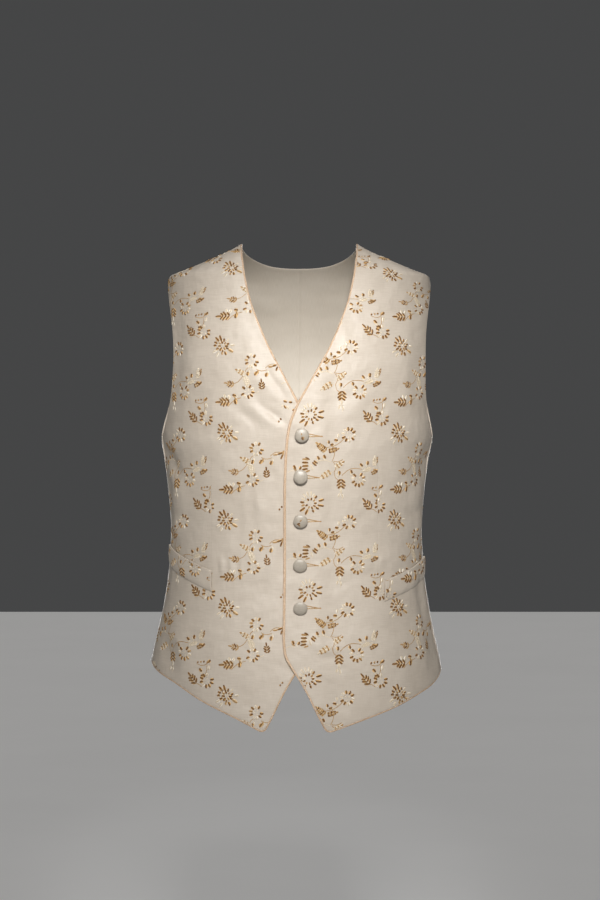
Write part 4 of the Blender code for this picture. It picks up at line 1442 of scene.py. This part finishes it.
def stitch_mesh(points, uvs, kept, threads):
    """One mesh of many mounds. A long grid is parted between them, and what isn't kept comes out."""
    count, rows, columns = points.shape[:3]
    bm = bmesh.new()
    bmesh.ops.create_grid(bm, x_segments=columns - 1, y_segments=count * rows - 1, size=0.5)
    layer = bm.loops.layers.uv.new("Cloth")
    index = {}
    for vert in bm.verts:
        row = round((vert.co.y + 0.5) * (count * rows - 1))
        column = round((vert.co.x + 0.5) * (columns - 1))
        index[vert] = (row // rows, row % rows, column)
    dropped = []
    for face in bm.faces:
        at = [index[vert] for vert in face.verts]
        if len({place[0] for place in at}) > 1 or not all(kept[place] for place in at):
            dropped.append(face)
            continue
        face.material_index = THREADS.index(threads[at[0][0]])
        for loop, place in zip(face.loops, at):
            loop[layer].uv = uvs[place]
    for vert, at in index.items():
        vert.co = points[at]
    bmesh.ops.delete(bm, geom=dropped, context="FACES")
    return bm


def on_grain(panel, along, height):
    """Places moved outwards and upwards with the grain of the panel's silk."""
    heights, outwards, upwards = np.array(GRAIN[panel.name]).T
    return along + np.interp(height, heights, outwards), height + np.interp(height, heights, upwards)


def through_dart(panel, across, height):
    """Places on the made-up cloth for places on the flat cloth, and whether the dart leaves them showing."""
    along = panel.side * across
    dart = DARTS[panel.name]
    middle, half = (dart.top + dart.foot) / 2, (dart.top - dart.foot) / 2
    intake = dart.intake * np.clip(1 - ((height - middle) / half) ** 2, 0, 1)
    beyond = along - dart.along
    shown = np.abs(beyond) >= intake / 2
    return along - np.sign(beyond) * intake / 2, shown


def embroidery(panel, outline, stitches):
    """The sprigs on a front, cut off at its edges, at the dart and under the welt."""
    flat_outline = np.stack(pattern_place(panel, outline[:, 0], outline[:, 1]), axis=-1)
    low, high = flat_outline.min(axis=0) - STITCHES_PAST, flat_outline.max(axis=0) + STITCHES_PAST
    chosen = repeated(stitches, low, high) + scraps(panel)
    flat, rise, uvs = stitch_shapes(chosen)
    height = height_at(flat[..., 1])
    along, kept = through_dart(panel, flat[..., 0], height)
    along, height = on_grain(panel, along, height)
    across, up = welt_shares(panel, along, height)
    kept &= ~((across > 0) & (across < 1) & (up > 0) & (up < 1))
    kept &= inside(outline, np.stack([along, height], axis=-1))
    points = on_cloth(panel, along, height, rise)
    bm = stitch_mesh(points, uvs, kept, [s.thread for s in chosen])
    return finished("embroidery_" + panel.name, bm, THREAD_MATERIALS)


def welt_embroidery(panel, stitches):
    """The sprigs on a welt, cut off at its edges."""
    corner = WELTS[panel.name]
    inner = panel.side * corner.along
    outer = panel.side * (corner.along + WELT_LENGTH)
    low = (min(inner, outer), cloth_length(corner.height - WELT_HEIGHT) - STITCHES_PAST)
    high = (max(inner, outer), cloth_length(corner.height + corner.rise * WELT_LENGTH) + STITCHES_PAST)
    chosen = repeated(stitches, low, high, WELT_SHIFT)
    flat, rise, uvs = stitch_shapes(chosen)
    along, height = panel.side * flat[..., 0], height_at(flat[..., 1])
    across, up = welt_shares(panel, along, height)
    margins = (STITCH_MARGIN / WELT_LENGTH, STITCH_MARGIN / WELT_HEIGHT)
    kept = (across > margins[0]) & (across < 1 - margins[0]) & (up > margins[1]) & (up < 1 - margins[1])
    _, _, lift = welt_place(panel, across, up)
    points = on_cloth(panel, along, height, lift + rise)
    bm = stitch_mesh(points, uvs, kept, [s.thread for s in chosen])
    return finished("embroidery_welt_" + panel.name[6:], bm, THREAD_MATERIALS)


def button_along(place):
    lean = float(ring_at(place.height, "front")[0, 2])
    return along_at_x(place.height, place.from_centre - lean)


def buttonholes():
    """The worked holes in the upper front. Each is a band of stitches between two corded lips, which
    the button pulls apart. The gold cords along the lips are thread, and their dark colour also paints the
    shadow beside the raised band."""
    way = (math.cos(BUTTONHOLE_SLOPE), math.sin(BUTTONHOLE_SLOPE))
    turn = math.degrees(BUTTONHOLE_SLOPE)
    narrowing = math.degrees(math.atan2(BUTTONHOLE_HALF_WIDTH, BUTTONHOLE_REACH))
    length, width = BUTTONHOLE_CORD
    chosen = []
    for place in BUTTONS:
        x, y = button_along(place), float(cloth_length(place.height))
        for distance in np.arange(0.0, BUTTONHOLE_REACH, BUTTONHOLE_PITCH):
            base = (x + way[0] * distance, y + way[1] * distance)
            half = BUTTONHOLE_HALF_WIDTH * (1 - distance / BUTTONHOLE_REACH)
            for side in (-1, 1):
                chosen.append(Stitch(*base, turn + side * 90, half + width / 2, BUTTONHOLE_PITCH, "c"))
        # Gold cords along both lips: thread, whose dark colour also paints the shadow beside the raised band
        for distance in np.arange(0.0, BUTTONHOLE_REACH, length * STEM_OVERLAP):
            half = BUTTONHOLE_HALF_WIDTH * (1 - distance / BUTTONHOLE_REACH)
            for side in (-1, 1):
                base_x = x + way[0] * distance - way[1] * side * half
                base_y = y + way[1] * distance + way[0] * side * half
                chosen.append(Stitch(base_x, base_y, turn - side * narrowing, length, width, "g"))
    flat, rise, uvs = stitch_shapes(chosen)
    points = on_cloth(UPPER_FRONT, flat[..., 0], height_at(flat[..., 1]), rise)
    bm = stitch_mesh(points, uvs, np.ones(rise.shape, bool), [s.thread for s in chosen])
    return finished("buttonholes", bm, THREAD_MATERIALS)


# Buttons


def on_button(number, places):
    """Points given from the foot of the button's shank, its face towards +Z, put in place."""
    place = BUTTONS[number]
    cosine, sine = math.cos(math.pi / 2 + place.tilt), math.sin(math.pi / 2 + place.tilt)
    x, y, z = np.moveaxis(np.asarray(places), -1, 0)
    foot = on_cloth(UPPER_FRONT, button_along(place), place.height, BUTTON_AIR)
    return np.stack([x, y * cosine - z * sine, y * sine + z * cosine], axis=-1) + foot


def button(number):
    """A domed button covered with the silk, on its thread shank."""
    profile = [(0.0, 0.0), (SHANK_RADIUS, 0.0), (SHANK_RADIUS, SHANK_LENGTH)]
    profile.append((BUTTON_BACK_RADIUS, BUTTON_BACK_HEIGHT))
    rim, rise = BUTTON_DOME
    for turn in np.linspace(-math.pi / 2, 0, BUTTON_RIM_STEPS, endpoint=False):
        share = 1 - BUTTON_RIM_SHARE + BUTTON_RIM_SHARE * math.cos(turn)
        profile.append((BUTTON_RADIUS * share, rim + BUTTON_RIM_DROP * math.sin(turn)))
    for turn in np.linspace(0, math.pi / 2, BUTTON_DOME_STEPS):
        profile.append((BUTTON_RADIUS * math.cos(turn), rim + rise * math.sin(turn)))
    bm = bmesh.new()
    verts = [bm.verts.new((radius, 0.0, up)) for radius, up in profile]
    edges = [bm.edges.new(pair) for pair in zip(verts, verts[1:])]
    bmesh.ops.spin(
        bm,
        geom=verts + edges,
        axis=(0, 0, 1),
        cent=(0, 0, 0),
        angle=2 * math.pi,
        steps=BUTTON_SIDES,
        use_merge=True,
    )
    bmesh.ops.remove_doubles(bm, verts=bm.verts, dist=MERGE_DISTANCE)
    bmesh.ops.recalc_face_normals(bm, faces=bm.faces)
    for vert in bm.verts:
        vert.co = on_button(number, vert.co)
    node = f"button_{number + 1}"
    finished("covered_" + node, bm, [BUTTON_SILK], [node])


def button_flower(number, petals):
    """The scrap of embroidery that the cloth of this button happens to carry."""
    flat, rise, uvs = stitch_shapes(in_metres(petals))
    rim, dome = BUTTON_DOME
    inward = 1 - np.clip((flat**2).sum(axis=-1) / BUTTON_RADIUS**2, 0, 1)
    up = rim + dome * np.sqrt(inward) + rise
    points = on_button(number, np.concatenate([flat, up[..., None]], axis=-1))
    bm = stitch_mesh(points, uvs, np.ones(rise.shape, bool), [p.thread for p in petals])
    finished(f"embroidery_button_{number + 1}", bm, THREAD_MATERIALS)


# The floor, the light and the camera


def floor():
    bm = bmesh.new()
    bmesh.ops.create_grid(bm, x_segments=1, y_segments=1, size=FLOOR_HALF_WIDTH)
    for vert in bm.verts:
        vert.co.z = FLOOR_HEIGHT
    mesh = bpy.data.meshes.new("floor")
    bm.to_mesh(mesh)
    bm.free()
    mesh.materials.append(floor_paint())
    made = bpy.data.objects.new("floor", mesh)
    bpy.context.scene.collection.objects.link(made)


def softbox(lamp):
    light = bpy.data.lights.new(lamp.name, "AREA")
    light.size = lamp.size
    light.energy = lamp.watts
    light.color = LAMP_COLOUR
    light.spread = lamp.spread
    made = bpy.data.objects.new(lamp.name, light)
    made.location = lamp.place
    way = Vector(lamp.aim) - Vector(lamp.place)
    made.rotation_euler = way.to_track_quat("-Z", "Y").to_euler()
    bpy.context.scene.collection.objects.link(made)


def overhead():
    """An even soft light from straight above, which keeps the floor pale all over."""
    light = bpy.data.lights.new("overhead", "SUN")
    light.energy = OVERHEAD_STRENGTH
    light.angle = OVERHEAD_ANGLE
    light.color = LAMP_COLOUR
    bpy.context.scene.collection.objects.link(bpy.data.objects.new("overhead", light))


def surroundings():
    world = bpy.data.worlds.new("studio")
    world.use_nodes = True
    sky = world.node_tree.nodes["Background"]
    sky.inputs["Color"].default_value = (*WORLD_COLOUR, 1.0)
    sky.inputs["Strength"].default_value = WORLD_STRENGTH
    bpy.context.scene.world = world
    for lamp in LAMPS:
        softbox(lamp)
    overhead()
    lens = bpy.data.cameras.new("camera")
    lens.lens = CAMERA_LENS
    seen = bpy.data.objects.new("camera", lens)
    seen.location = CAMERA_PLACE
    seen.rotation_euler = (math.pi / 2, 0.0, 0.0)
    bpy.context.scene.collection.objects.link(seen)
    bpy.context.scene.camera = seen
    bpy.context.scene.view_settings.view_transform = "Standard"


def main():
    """Every piece of the garment, the floor, the light and the camera."""
    stitches = sprig()
    for panel in BACKS:
        grid = back_grid(panel)
        made = cloth_panel(panel, grid, BACK_SATIN)
    for panel in FRONTS:
        grid = front_grid(panel)
        outline = outline_of(grid)
        made = cloth_panel(panel, grid, FRONT_SILK[panel.name])
        trim = [piping(panel), embroidery(panel, outline, stitches)]
        if panel.laps:
            trim.append(buttonholes())
        band = welt(panel)
        sprigs = welt_embroidery(panel, stitches)
    for number in range(len(BUTTONS)):
        button(number)
    for number, petals in BUTTON_FLOWERS.items():
        button_flower(number, petals)
    floor()
    surroundings()


main()
